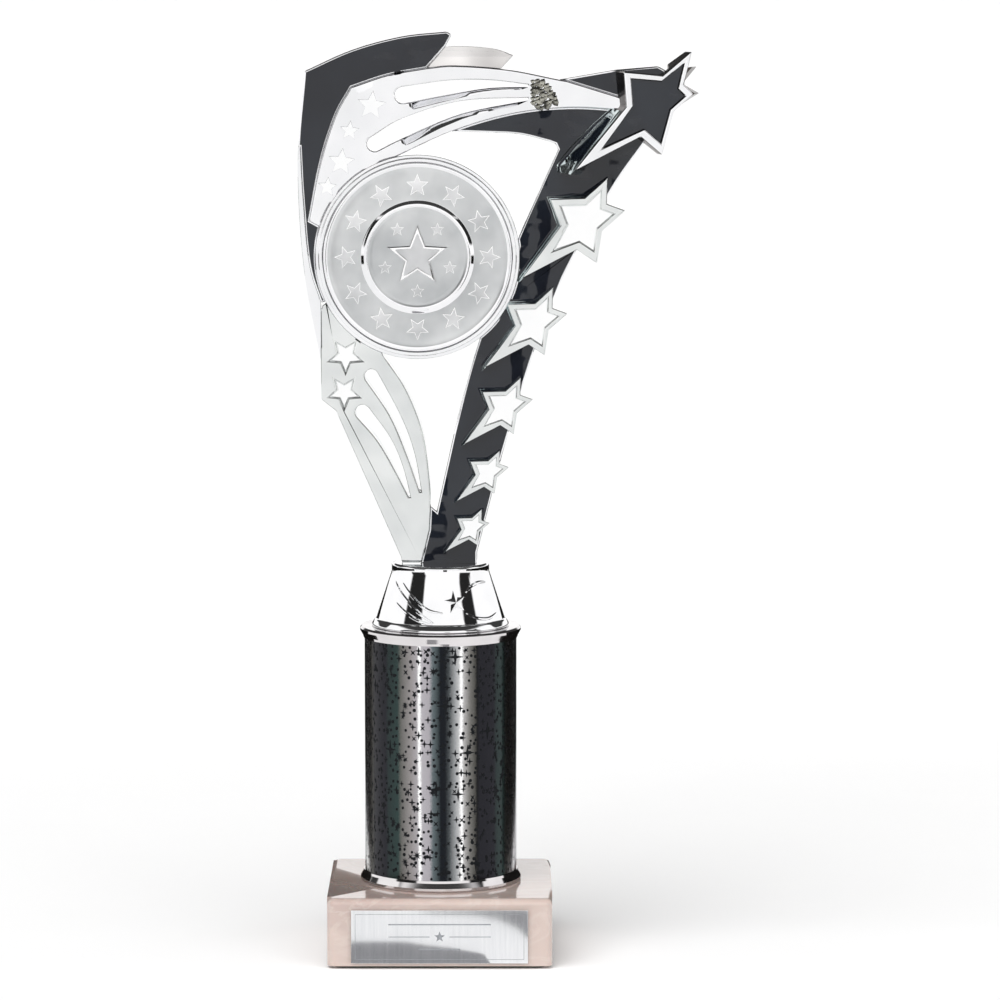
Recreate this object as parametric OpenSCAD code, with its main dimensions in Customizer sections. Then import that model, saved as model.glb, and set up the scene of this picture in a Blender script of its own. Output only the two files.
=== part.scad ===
// Column trophy: stone block, foil-wrapped riser tube, cone cup and an open two-tone star figure.
// Millimetres, +Z up, front towards -Y. Origin: centre of the underside, on the surface it stands on.

/* [Base] */
// Side of the square stone block
base_side = 59.4; // [52:0.2:70]
// Height of the top of the block above the surface
base_top = 18.7; // [16:0.1:26]
// Thickness of the felt under the block
felt_t = 0.8; // [0.5:0.1:2]
// Radius of the block's upright corners
corner_r = 2; // [1:0.5:5]
// Width of the engraving plate
plate_w = 46.6; // [30:0.2:50]
// Height of the engraving plate
plate_h = 14.2; // [8:0.2:15]
// Thickness of the engraving plate
plate_t = 0.6; // [0.4:0.1:1]
// Thickness of the tape behind the plate
tape_t = 0.3; // [0.2:0.1:0.6]

/* [Column] */
// Outer radius of the riser tube without its foil
tube_r = 20.1; // [18:0.1:20.5]
// Wall of the riser tube
tube_wall = 1.6; // [1.2:0.1:3]
// Thickness of the foil wrap
foil_t = 0.2; // [0.1:0.05:0.3]
// Height of each end cap's visible rim
cap_h = 3; // [2.4:0.1:4]
// Largest radius of an end cap
cap_r = 21.5; // [21:0.1:23]
// Length of the tube between the two rims
tube_len = 62.8; // [50:0.1:90]
// Height of the cone cup
cone_h = 17; // [16:0.1:20]
// Radius of the cone cup at its foot
cone_r1 = 18.3; // [17:0.1:20]
// Radius of the cone cup at its mouth
cone_r2 = 12.9; // [12.8:0.1:14]

/* [Fasteners] */
// Thread diameter of the rod
rod_d = 5; // [4:1:5]
// Width across the flats of both nuts
nut_af = 8; // [8:0.5:9]
// Height of both nuts
nut_h = 4; // [3.5:0.1:4.2]
// Radius of the dowels and pins inside the figure
pin_r = 1; // [0.8:0.1:1.1]

/* [Figure] */
// Half the thickness of the black parts
dark_y = 4; // [3.6:0.1:4.4]
// Half the thickness of the comet and the wing
bright_y = 4.9; // [4.6:0.1:5.4]
// Half the thickness of the stars on the bar
star_y = 6.2; // [5.6:0.1:7]
// How deep the stars on the bar are let in, from its face
let_in = 1.5; // [1:0.1:1.8]
// Turn of the large star towards the right
star_turn = 18; // [10:1:20]
// Outer radius of the disc holder
holder_r = 27; // [26.6:0.1:27.4]
// Radius of the centre disc
disc_r = 25; // [24.6:0.1:25]
// Thickness of the centre disc
disc_t = 1; // [0.8:0.1:1.2]
// Half the thickness of the disc holder
holder_y = 6.4; // [6:0.1:7]

/* [Hidden] */
$fn = 96;

gap = 0.03;                              // radial clearance of pins, rod and spigots
slip = 0.1;                              // clearance of pieces that drop into a recess
cut = 1;                                 // how far a cutting tool runs past the surface
half = base_side / 2;
cap_bottom_z = base_top;                 // underside of the lower cap
tube_z = base_top + cap_h;               // lower end of the visible tube
cap_top_z = tube_z + tube_len;           // underside of the upper cap's rim
cone_z = cap_top_z + cap_h;              // foot of the cone cup
mouth_z = cone_z + cone_h;               // mouth of the cone cup
foot_z = mouth_z - 9.4;                  // underside of the figure's foot
spigot_h = 5;                            // how far a cap's spigot enters the tube
bore_r = rod_d / 2 + 0.2;                // clearance hole for the rod
recess_r = 11;                           // recess for the washer and nut under the block
recess_top = felt_t + 8;
hub = [-5.9, 186.2];                     // centre of the disc holder
recess_t = 1.6;                          // depth of the holder's recess
pad_t = recess_t - disc_t - 0.2;         // adhesive pad under the disc
relief = 0.3;                            // height of the disc's relief
core_r = 15;                             // hollow behind the disc: radius and depth
core_y = 3;
raised = 0.4;                            // height of the raised stars on the comet
sunk_deep = 1.2;                         // depth of the sunk stars on the wing

// ---- Plane curves: a point is [x, z] ----

// Position on a Catmull-Rom stretch from b to c, between its neighbours a and d
function ease(a, b, c, d, t) =
  0.5 * (2 * b + (c - a) * t + (2 * a - 5 * b + 4 * c - d) * t * t
         + (3 * b - a - 3 * c + d) * t * t * t);

// Smooth open curve through the points p, with n steps between each pair
function curve(p, n = 6) =
  let (m = len(p) - 1, q = concat([2 * p[0] - p[1]], p, [2 * p[m] - p[m - 1]]))
  concat(
    [for (i = [0:m - 1], k = [0:n - 1]) ease(q[i], q[i + 1], q[i + 2], q[i + 3], k / n)],
    [p[m]]
  );

// The points of p without the first one, to join it to a curve that ends there
function rest(p) = [for (i = [1:len(p) - 1]) p[i]];

// The points of p in the opposite order
function back(p) = [for (i = [len(p) - 1:-1:0]) p[i]];

// Half circle from a to b, bulging to the left of that direction
function half_round(a, b, n = 8) =
  let (c = (a + b) / 2, u = a - c)
  [for (i = [0:n]) c + [u.x * cos(180 * i / n) + u.y * sin(180 * i / n),
                        u.y * cos(180 * i / n) - u.x * sin(180 * i / n)]];

// Ten corners of a five-pointed star from five tips and five notches, each [angle, radius]
function star_points(tips, notches, s = 1) =
  [for (i = [0:4], k = [0:1])
    let (p = k == 0 ? tips[i] : notches[i]) s * p[1] * [cos(p[0]), sin(p[0])]];

// Regular star of radius r with its first tip at angle a
function even_star(r, a) = star_points([for (i = [0:4]) [a - 72 * i, r]],
                                       [for (i = [0:4]) [a - 36 - 72 * i, 0.46 * r]]);

// Extrudes a plane figure drawn in [x, z] from y0 to y1
module slab(y0, y1) {
  translate([0, y1, 0]) rotate([90, 0, 0]) linear_extrude(height = y1 - y0) children();
}

// Mirrors its children to the rear half of the figure
module rear() { mirror([0, 1, 0]) children(); }

// ---- Outlines of the figure ----

bar_foot_x = [-5, 9.8];                  // the black bar's foot in the cone, left and right
wing_foot_x = -10.3;                     // the wing's foot, left side
left_edge = curve([[-35.6, 235.1], [-37.5, 211], [-36, 183], [-31.5, 158.4]]);
top_edge = curve([[-35.6, 235.1], [-23, 240.7], [-10, 244.2], [1.9, 245.5]]);
trim_from = 5;
trim_inner = curve([left_edge[trim_from] + [0.5, 0], [-36.2, 202], [-34.6, 184.4], [-31.5, 174]]);
comet_left = curve([[-34.4, 195.7], [-31.3, 211.5], [-27.4, 223.5], [-23.3, 230.9]]);
comet_rise = curve([[-23.3, 230.9], [-13.5, 234.1], [-3.5, 235.9]]);
comet_top = curve([[-3.5, 235.9], [4, 236.5], [18, 235.5], [31.4, 232.9]]);
comet_low = curve([[48.6, 224.9], [34, 225.6], [19, 224], [3, 219.3], [-12.4, 212.2]]);
arc_low = curve([[3, 219.3], [11.5, 219], [21, 218.5], [29, 216.6]]);
bar_left = curve([[31.2, 214.6], [20.7, 191], [10.7, 165], [4.6, 143], [-0.9, 118.4]]);
bar_right = curve([[54.5, 217], [44.7, 202.8], [30.4, 176], [18.6, 141], [9.8, 107.5]]);
wing_right = curve([[-15.3, 160.4], [-9, 151], [-4.6, 139.6], [-2.7, 126], [-2.6, 119.9]]);
seam = [[-2.9, 113.6], [-5, 105]];       // where wing and bar meet above the cone
horn_end = 60;                           // right-hand end of the horn

// Slot that tapers to a point. Its edges start at the round end, and the upper one is on the
// right of the direction from the round end to the point's far side
module taper_slot(upper, lower) {
  polygon(concat(half_round(lower[0], upper[0]), curve(upper), back(curve(lower))));
}

module comet_slots() {
  taper_slot([[-10.1, 231], [2.5, 232.7], [13, 232.8], [23.6, 231.6]],
             [[-9.2, 226.7], [2.5, 229], [13, 230.7], [23.6, 231]]);
  taper_slot([[-18.3, 217.7], [-9.6, 222.8], [5.5, 227.3], [23.5, 228.2]],
             [[-16, 214.4], [-9.7, 217.5], [5.5, 223.9], [23.5, 227.5]]);
}

module wing_slots() {
  taper_slot([[-16.6, 155.6], [-10.2, 143.5], [-6.8, 134], [-4.9, 123.6]],
             [[-19.7, 153.6], [-13.4, 144.2], [-9, 134], [-5.4, 123.6]]);
  taper_slot([[-18.9, 146.2], [-13.2, 138.2], [-9.9, 130.5], [-7.8, 122.2]],
             [[-22.1, 143.8], [-16.5, 137.2], [-12, 129.5], [-8.3, 122.2]]);
}

// Black band over the top left, with its cut-off end
module band_shape() {
  polygon(concat(top_edge, [[3.2, 244.6], [1.5, 241.6]], back(comet_rise),
                 rest(back(comet_left)), [[-24, 190], [-24, 176]],
                 back(trim_inner), [for (i = [trim_from:-1:1]) left_edge[i]]));
}

// Silver comet with its long tail along the disc holder
module comet_shape() {
  difference() {
    polygon(concat(comet_left, rest(comet_rise), rest(comet_top),
                   [[33.6, 232.5], [49.2, 227.7]], comet_low, [[-12, 200], [-24, 190]]));
    comet_slots();
  }
}

// Black bar with the arc over the window and the horn behind the large star
module bar_shape() {
  polygon(concat([for (p = comet_low) if (p.x > 3) p], arc_low, [[30.6, 216]], bar_left,
                 [[-2.6, 119.9]], seam, [[bar_foot_x[0], foot_z], [bar_foot_x[1], foot_z]],
                 back(bar_right), [[horn_end, 226], [horn_end, 235], [57.5, 236.4], [46.5, 235.5],
                 [31.4, 232.9], [33.6, 232.5], [49.2, 227.7]]));
}

// Silver wing below the disc, with its foot in the cone
module wing_shape() {
  difference() {
    polygon(concat([[-31.5, 172], [-31.1, 173.4], [-30, 174], [-24, 175.5], [-14, 176]],
                   wing_right, seam, [[bar_foot_x[0], foot_z], [wing_foot_x, foot_z],
                   [wing_foot_x, 106], [-26.6, 143.1], [-27.5, 145.3], [-31.5, 148.4]]));
    wing_slots();
  }
}

// Thin bright edge down the left side
module trim_shape() {
  polygon(concat([for (i = [trim_from:len(left_edge) - 1]) left_edge[i]], back(trim_inner)));
}

module ribbon_shape() {
  polygon(concat(curve([[1.5, 241.6], [9, 241.5], [15, 240.8], [19.4, 239.2]]),
                 [[16.2, 235.8]], [for (p = back(comet_top)) if (p.x < 16) p]));
}

// ---- Stars ----

// Tips and notches of the shooting stars on the bar, clockwise from the top: [angle, radius]
shot_tips = [[64, 13], [15.5, 10.8], [-75, 11.4], [-138.5, 22.6], [148, 11.2]];
shot_notches = [[40.5, 7.2], [-30, 4.9], [-108.5, 7.8], [-171, 6.9], [92.5, 6.2]];
// Size and place of the five stars down the bar: [scale, x, z]
shots = [[1, 38.6, 195.6], [0.8, 25.4, 169], [0.67, 17.6, 146.6],
         [0.51, 12.9, 129], [0.43, 8.6, 114.3]];
// The large star at the top of the bar
big_tips = [[55.8, 16.2], [13.3, 9.8], [-85, 13.8], [-141.3, 28], [137.7, 12.2]];
big_notches = [[33.7, 8.4], [-27, 4.9], [-117, 9.9], [-174, 8.3], [79, 7.4]];
// The rear star leans, so that two of its tips reach past the front one
big_rear_tips = [[41, 14.2], [11, 11.6], [-85, 13.8], [-141.3, 28], [137.7, 12.2]];
big_at = [57.4, 226.9];
big_face = 8;                            // the large star's face, from the middle plane
inlay_t = 0.8;                           // thickness of the black inlay
inlay_deep = 1.6;                        // depth of the pocket that holds it
rim_k = 0.72;                            // size of a star's sunk middle, as a share of the star
tail_k = 0.52;                           // the same for its long tail

// A star's tips with the long tail shortened, for its sunk middle
function sunk(tips, k) = [for (i = [0:4]) [tips[i][0], tips[i][1] * (i == 3 ? k : 1)]];

module shot_outline(i, middle = false) {
  s = shots[i][0];
  translate([shots[i][1], shots[i][2]])
    polygon(middle ? star_points(sunk(shot_tips, tail_k / rim_k), shot_notches, s * rim_k)
                   : star_points(shot_tips, shot_notches, s));
}

// One shooting star, front half: let into the bar, full depth where it overhangs
module shot(i) {
  color("gainsboro") difference() {
    slab(-star_y, 0) shot_outline(i);
    slab(-dark_y + let_in, cut) bar_shape();
    holder_solid();
    slab(-star_y - cut, -star_y + 0.8) shot_outline(i, true);
  }
}

// Large star's plane, turned to the right; its outline is widened to look right from the front
module big_placed() {
  translate([big_at.x - big_face * sin(star_turn), 0, big_at.y])
    rotate([0, 0, star_turn]) children();
}

function widened(p) = [for (q = p) [q.x / cos(star_turn), q.y]];

// Large star, front half: stands on bar and comet, and meets its twin beyond the bar's end
module big_star(tips) {
  color("gainsboro") difference() {
    big_placed() slab(-big_face, 11) polygon(widened(star_points(tips, big_notches)));
    big_placed() slab(-big_face - cut, -big_face + inlay_deep) big_middle(tips);
    slab(-dark_y, 20) bar_shape();
    slab(-bright_y, 20) comet_shape();
    translate([0, 0, 180]) cube([120, 30, 80]);
    translate([0, -dark_y, 180]) cube([horn_end, 30, 80]);
  }
}

module big_middle(tips) {
  polygon(widened(star_points(sunk(tips, 0.86), big_notches, 0.78)));
}

module big_inlay(tips) {
  color("darkslategray") big_placed()
    slab(-big_face + inlay_deep - inlay_t, -big_face + inlay_deep) big_middle(tips);
}

// ---- Fasteners inside the figure ----

// Angles round the holder at which a dowel joins it to its neighbour
spoke_angles = [116, 145, 217, 240, 0, -30];
dowel_len = 5;
// Dowels across the other joints: [x, z, direction]
cross_dowels = [[-11, 234.6, 80], [-31.3, 211.5, 160], [14, 222.8, 107], [40, 225.4, 90],
                [8, 236.4, 90], [-4, 109.3, 14]];
dowels = concat([for (a = spoke_angles)
                  [hub.x + holder_r * cos(a), hub.y + holder_r * sin(a), a]], cross_dowels);
// Pins that join the front and rear halves: [x, z]
pins = [[-32, 226], [-15, 236], [-25, 208], [28, 229], [40, 212], [28, 186],
        [13, 156], [7, 136], [5, 118], [-27, 166], [-12, 121], [56, 229]];
pin_len = 4;

module dowel_set(extra = 0) {
  for (d = dowels)
    translate([d[0], 0, d[1]]) rotate([0, 90 - d[2], 0])
      cylinder(r = pin_r + extra, h = dowel_len + 2 * extra, center = true, $fn = 32);
}

module pin_set(extra = 0) {
  for (p = pins)
    translate([p[0], 0, p[1]]) rotate([90, 0, 0])
      cylinder(r = pin_r + extra, h = pin_len + 2 * extra, center = true, $fn = 32);
}

module figure_dowels() { color("white") dowel_set(); }
module figure_pins() { color("white") pin_set(); }

// Space that the disc holder takes, for its neighbours
module holder_solid() {
  translate([hub.x, 0, hub.y]) rotate([90, 0, 0])
    cylinder(r = holder_r, h = 2 * holder_y, center = true);
}

// A half of the figure: drawn outline, less the holder, the dowels and the pins
module half_part(y) {
  difference() {
    slab(-y, 0) children();
    holder_solid();
    dowel_set(gap);
    pin_set(gap);
  }
}

// ---- Figure ----

module band() { color("darkslategray") half_part(dark_y) band_shape(); }

// Raised stars on the comet: [x, z, radius]
comet_stars = [[-17.9, 226.1, 4], [-23.7, 219.5, 2.7], [-25.9, 211.3, 3.7],
               [-29.6, 204.7, 2.7]];
// Sunk stars on the wing, point down
wing_stars = [[-25, 160, 4.8], [-25.4, 150.3, 4.5]];

module comet() {
  color("gainsboro") {
    half_part(bright_y) comet_shape();
    for (s = comet_stars)
      slab(-bright_y - raised, -bright_y) translate([s[0], s[1]]) polygon(even_star(s[2], 84));
  }
}

module bar() {
  color("darkslategray") difference() {
    half_part(dark_y) bar_shape();
    for (i = [0:4]) slab(-dark_y - cut, -dark_y + let_in) shot_outline(i);
    foot_bore();
  }
}

module wing() {
  crease = atan2(105.5 - 145, -7 + 25.4);
  color("gainsboro") difference() {
    half_part(bright_y) wing_shape();
    for (s = wing_stars)
      slab(-bright_y - cut, -bright_y + sunk_deep)
        translate([s[0], s[1]]) polygon(even_star(s[2], -90));
    // the outer flank falls away from the crease
    translate([-25.4, -bright_y, 145]) rotate([0, -crease, 0]) rotate([14, 0, 0])
      translate([-30, -10, -40]) cube([120, 10, 40]);
    // the foot is as thick as the slot in the cone
    translate([-20, -10, foot_z - cut]) cube([20, 10 - dark_y, mouth_z - foot_z + cut + 0.6]);
    foot_bore();
  }
}

// Relief in the figure's foot for the end of the rod
module foot_bore() {
  translate([0, 0, foot_z - cut]) cylinder(r = bore_r, h = cut + 4);
}

module edge_trim() {
  color("gainsboro") slab(-dark_y + 0.4, dark_y - 0.4) trim_shape();
}

// Hollow-faced tail between the band and the comet
module ribbon_tail() {
  color("gainsboro") difference() {
    slab(-3.4, 3.4) ribbon_shape();
    for (side = [-1, 1])
      translate([-10, side * 10.2, 238.9]) rotate([0, 90, 0]) cylinder(r = 7.6, h = 40);
    dowel_set(gap);
  }
}

// Half of the drum that carries the disc: rim, floor and a hollow behind the floor
module disc_holder() {
  color("silver") difference() {
    translate([hub.x, 0, hub.y]) rotate([90, 0, 0]) difference() {
      cylinder(r = holder_r, h = holder_y);
      translate([0, 0, holder_y - recess_t]) cylinder(r = disc_r + slip, h = recess_t + cut);
      translate([0, 0, -cut]) cylinder(r = core_r, h = core_y + cut);
      // step round the outside of the rim
      translate([0, 0, holder_y - 1]) difference() {
        cylinder(r = holder_r + cut, h = 1 + cut);
        translate([0, 0, -cut]) cylinder(r = holder_r - 0.9, h = 1 + 3 * cut);
      }
    }
    dowel_set(gap);
  }
}

module disc_pad() {
  color("white") translate([hub.x, -holder_y + recess_t, hub.y]) rotate([90, 0, 0])
    cylinder(r = disc_r - 3, h = pad_t);
}

// Pressed metal disc: bead, inner ring, twelve stars round a ring of five about a large one
module centre_disc() {
  seat = holder_y - recess_t + pad_t;
  color("silver") translate([hub.x, 0, hub.y]) rotate([90, 0, 0]) {
    translate([0, 0, seat]) cylinder(r = disc_r, h = disc_t - relief);
    translate([0, 0, seat + disc_t - relief]) {
      ring(disc_r, disc_r - 0.9, relief);
      ring(13.4, 12.8, relief);
      linear_extrude(height = relief) {
        for (a = [0:30:330]) rotate(a) translate([0, 18.9]) polygon(even_star(3.4, 90));
        for (a = [36:72:324]) rotate(a) translate([0, 9]) rotate(-a) polygon(even_star(2.1, 90));
        polygon(even_star(8.6, 90));
      }
    }
  }
}

module ring(r_out, r_in, h) {
  difference() {
    cylinder(r = r_out, h = h);
    translate([0, 0, -cut]) cylinder(r = r_in, h = h + 2 * cut);
  }
}

// ---- Column ----

// Cap of the tube: flared rim, spigot inside the tube and a hole for the rod
module tube_cap() {
  seat = tube_r + foil_t;
  inner = tube_r - tube_wall - gap;
  color("silver") difference() {
    rotate_extrude() polygon([
      [0, 0], [cap_r - 0.5, 0], [cap_r, 0.5], [cap_r, 1.1], [seat + 0.5, cap_h - 0.6],
      [seat + 0.3, cap_h], [inner, cap_h], [inner, cap_h + spigot_h],
      [inner - 1.6, cap_h + spigot_h], [inner - 1.6, 2], [0, 2]]);
    translate([0, 0, -cut]) cylinder(r = bore_r, h = 4 * cut);
  }
}

module tube_cap_bottom() { translate([0, 0, cap_bottom_z]) tube_cap(); }
module tube_cap_top() { translate([0, 0, cone_z]) mirror([0, 0, 1]) tube_cap(); }

module riser_tube() {
  color("dimgray") translate([0, 0, tube_z]) ring(tube_r, tube_r - tube_wall, tube_len);
}

module foil_wrap() {
  color("#303038") translate([0, 0, tube_z]) ring(tube_r + foil_t, tube_r, tube_len);
}

// Cone cup: hollow below, a pocket for the nut and a slot for the figure's foot
module cone_cup() {
  color("gainsboro") translate([0, 0, cone_z]) difference() {
    rotate_extrude() polygon([
      [0, 0], [cone_r1, 0], [cone_r1, 0.6], [cone_r1 - 0.7, 1.8], [cone_r1 - 1.1, 2],
      [cone_r2 + 0.1, cone_h - 2.2], [cone_r2 + 0.1, cone_h - 0.5],
      [cone_r2 - 0.4, cone_h], [0, cone_h]]);
    difference() {
      translate([0, 0, -cut]) cylinder(r1 = cone_r1 - 1.5, r2 = cone_r2 - 0.6, h = 6.4 + cut);
      cylinder(r = 8, h = 8);
    }
    translate([0, 0, -cut]) cylinder(r = bore_r, h = 8);
    translate([0, 0, foot_z - cone_z - nut_h]) hexagon(nut_af + slip, nut_h);
    translate([wing_foot_x, -dark_y, foot_z - cone_z])
      cube([bar_foot_x[1] - wing_foot_x, 2 * dark_y, cone_h]);
  }
}

// ---- Base and fasteners ----

module hexagon(af, h) { cylinder(r = af / sqrt(3), h = h, $fn = 6); }

module nut(z) {
  color("silver") translate([0, 0, z]) difference() {
    hexagon(nut_af, nut_h);
    translate([0, 0, -cut]) cylinder(r = rod_d / 2 + gap, h = nut_h + 2 * cut);
  }
}

module base_nut() { nut(recess_top - 1 - nut_h); }
module figure_nut() { nut(foot_z - nut_h); }

module base_washer() {
  color("silver") translate([0, 0, recess_top - 1]) ring(9, bore_r, 1);
}

module threaded_rod() {
  color("gray") translate([0, 0, felt_t + 2]) cylinder(r = rod_d / 2, h = foot_z + 2.5 - felt_t - 2);
}

// Square with round corners
module round_square(side, r) {
  square([side - 2 * r, side], center = true);
  square([side, side - 2 * r], center = true);
  for (x = [-1, 1], y = [-1, 1]) translate([x, y] * (side / 2 - r)) circle(r = r);
}

module marble_base() {
  color("#e8d2c8") difference() {
    translate([0, 0, felt_t]) linear_extrude(height = base_top - felt_t)
      round_square(base_side, corner_r);
    translate([0, 0, -cut]) cylinder(r = bore_r, h = base_top + 2 * cut);
    translate([0, 0, felt_t - cut]) cylinder(r = recess_r, h = recess_top - felt_t + cut);
  }
}

module base_felt_pad() {
  color("#2d4a3a") linear_extrude(height = felt_t) round_square(base_side - 4, corner_r);
}

plate_z = 8.8;                           // middle of the plate

module plate_tape() {
  color("white") translate([0, 0, plate_z]) slab(-half - tape_t, -half)
    square([plate_w - 3, plate_h - 3], center = true);
}

module engraving_plate() {
  color("silver") translate([0, 0, plate_z]) slab(-half - tape_t - plate_t, -half - tape_t)
    square([plate_w, plate_h], center = true);
}

// ---- Assembly ----

base_felt_pad();
marble_base();
base_washer();
base_nut();
threaded_rod();
plate_tape();
engraving_plate();
tube_cap_bottom();
riser_tube();
foil_wrap();
tube_cap_top();
cone_cup();
figure_nut();
band();  // band_front
rear() band();  // band_rear
comet();  // comet_front
rear() comet();  // comet_rear
bar();  // bar_front
rear() bar();  // bar_rear
wing();  // wing_front
rear() wing();  // wing_rear
edge_trim();
ribbon_tail();
disc_holder();  // disc_holder_front
rear() disc_holder();  // disc_holder_rear
disc_pad();
centre_disc();
big_star(big_tips);  // big_star_front
rear() big_star(big_rear_tips);  // big_star_rear
big_inlay(big_tips);  // big_star_inlay_front
rear() big_inlay(big_rear_tips);  // big_star_inlay_rear
shot(0);  // star_2_front
rear() shot(0);  // star_2_rear
shot(1);  // star_3_front
rear() shot(1);  // star_3_rear
shot(2);  // star_4_front
rear() shot(2);  // star_4_rear
shot(3);  // star_5_front
rear() shot(3);  // star_5_rear
shot(4);  // star_6_front
rear() shot(4);  // star_6_rear
figure_dowels();
figure_pins();
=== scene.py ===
"""Looks of the column trophy: plated and lacquered star figure, foil-wrapped riser, stone block."""

import logging
import math
from dataclasses import dataclass, field
from enum import Enum
from typing import Callable, Optional, Sequence

import bmesh
import bpy
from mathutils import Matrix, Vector


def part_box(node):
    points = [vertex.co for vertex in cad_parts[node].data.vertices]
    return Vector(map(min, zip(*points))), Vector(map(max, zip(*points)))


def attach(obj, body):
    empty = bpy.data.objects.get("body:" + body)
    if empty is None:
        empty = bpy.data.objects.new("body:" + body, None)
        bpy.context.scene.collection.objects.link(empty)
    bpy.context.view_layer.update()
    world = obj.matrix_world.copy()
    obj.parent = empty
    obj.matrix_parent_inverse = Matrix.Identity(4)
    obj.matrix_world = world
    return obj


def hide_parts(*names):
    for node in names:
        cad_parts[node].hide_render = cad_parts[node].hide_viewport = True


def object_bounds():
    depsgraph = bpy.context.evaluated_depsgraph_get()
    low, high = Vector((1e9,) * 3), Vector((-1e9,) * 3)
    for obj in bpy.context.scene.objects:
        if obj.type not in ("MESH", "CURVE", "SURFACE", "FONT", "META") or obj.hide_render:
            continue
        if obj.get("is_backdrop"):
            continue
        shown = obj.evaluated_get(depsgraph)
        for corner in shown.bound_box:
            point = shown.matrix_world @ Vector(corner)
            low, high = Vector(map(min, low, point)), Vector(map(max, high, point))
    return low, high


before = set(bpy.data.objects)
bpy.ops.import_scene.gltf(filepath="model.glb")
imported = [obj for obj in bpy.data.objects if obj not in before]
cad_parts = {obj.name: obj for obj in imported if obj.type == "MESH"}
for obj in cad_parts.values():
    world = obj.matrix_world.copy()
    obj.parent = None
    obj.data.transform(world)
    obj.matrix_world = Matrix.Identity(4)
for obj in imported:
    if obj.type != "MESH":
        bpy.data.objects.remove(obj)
log = logging.getLogger("trophy")

MM = 0.001
Colour = tuple[float, float, float]
Point = tuple[float, float]
BROAD = 2 * MM * MM             # a face above this area is flat, and not part of a rounding
CREASE = 4.0                    # least angle that shows between two broad faces, in degrees
SLOPE_X = (-9.2, 24.0)          # where the slopes on the comet's beams start and run out
SLOPE_TOP = 231.1               # above this the comet has no slope
STAR_TOP = 5.2                  # a comet face further out than this is a raised star
SUNK_STAR = 3.0                 # depths that hold the sunk face of a star, from the middle
WING_FACE, BAR_STAR_RIM = 4.7, 5.8
STAR_AREA = 30 * MM * MM        # no star on the wing is larger


# ---------------------------------------------------------------- materials


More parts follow.
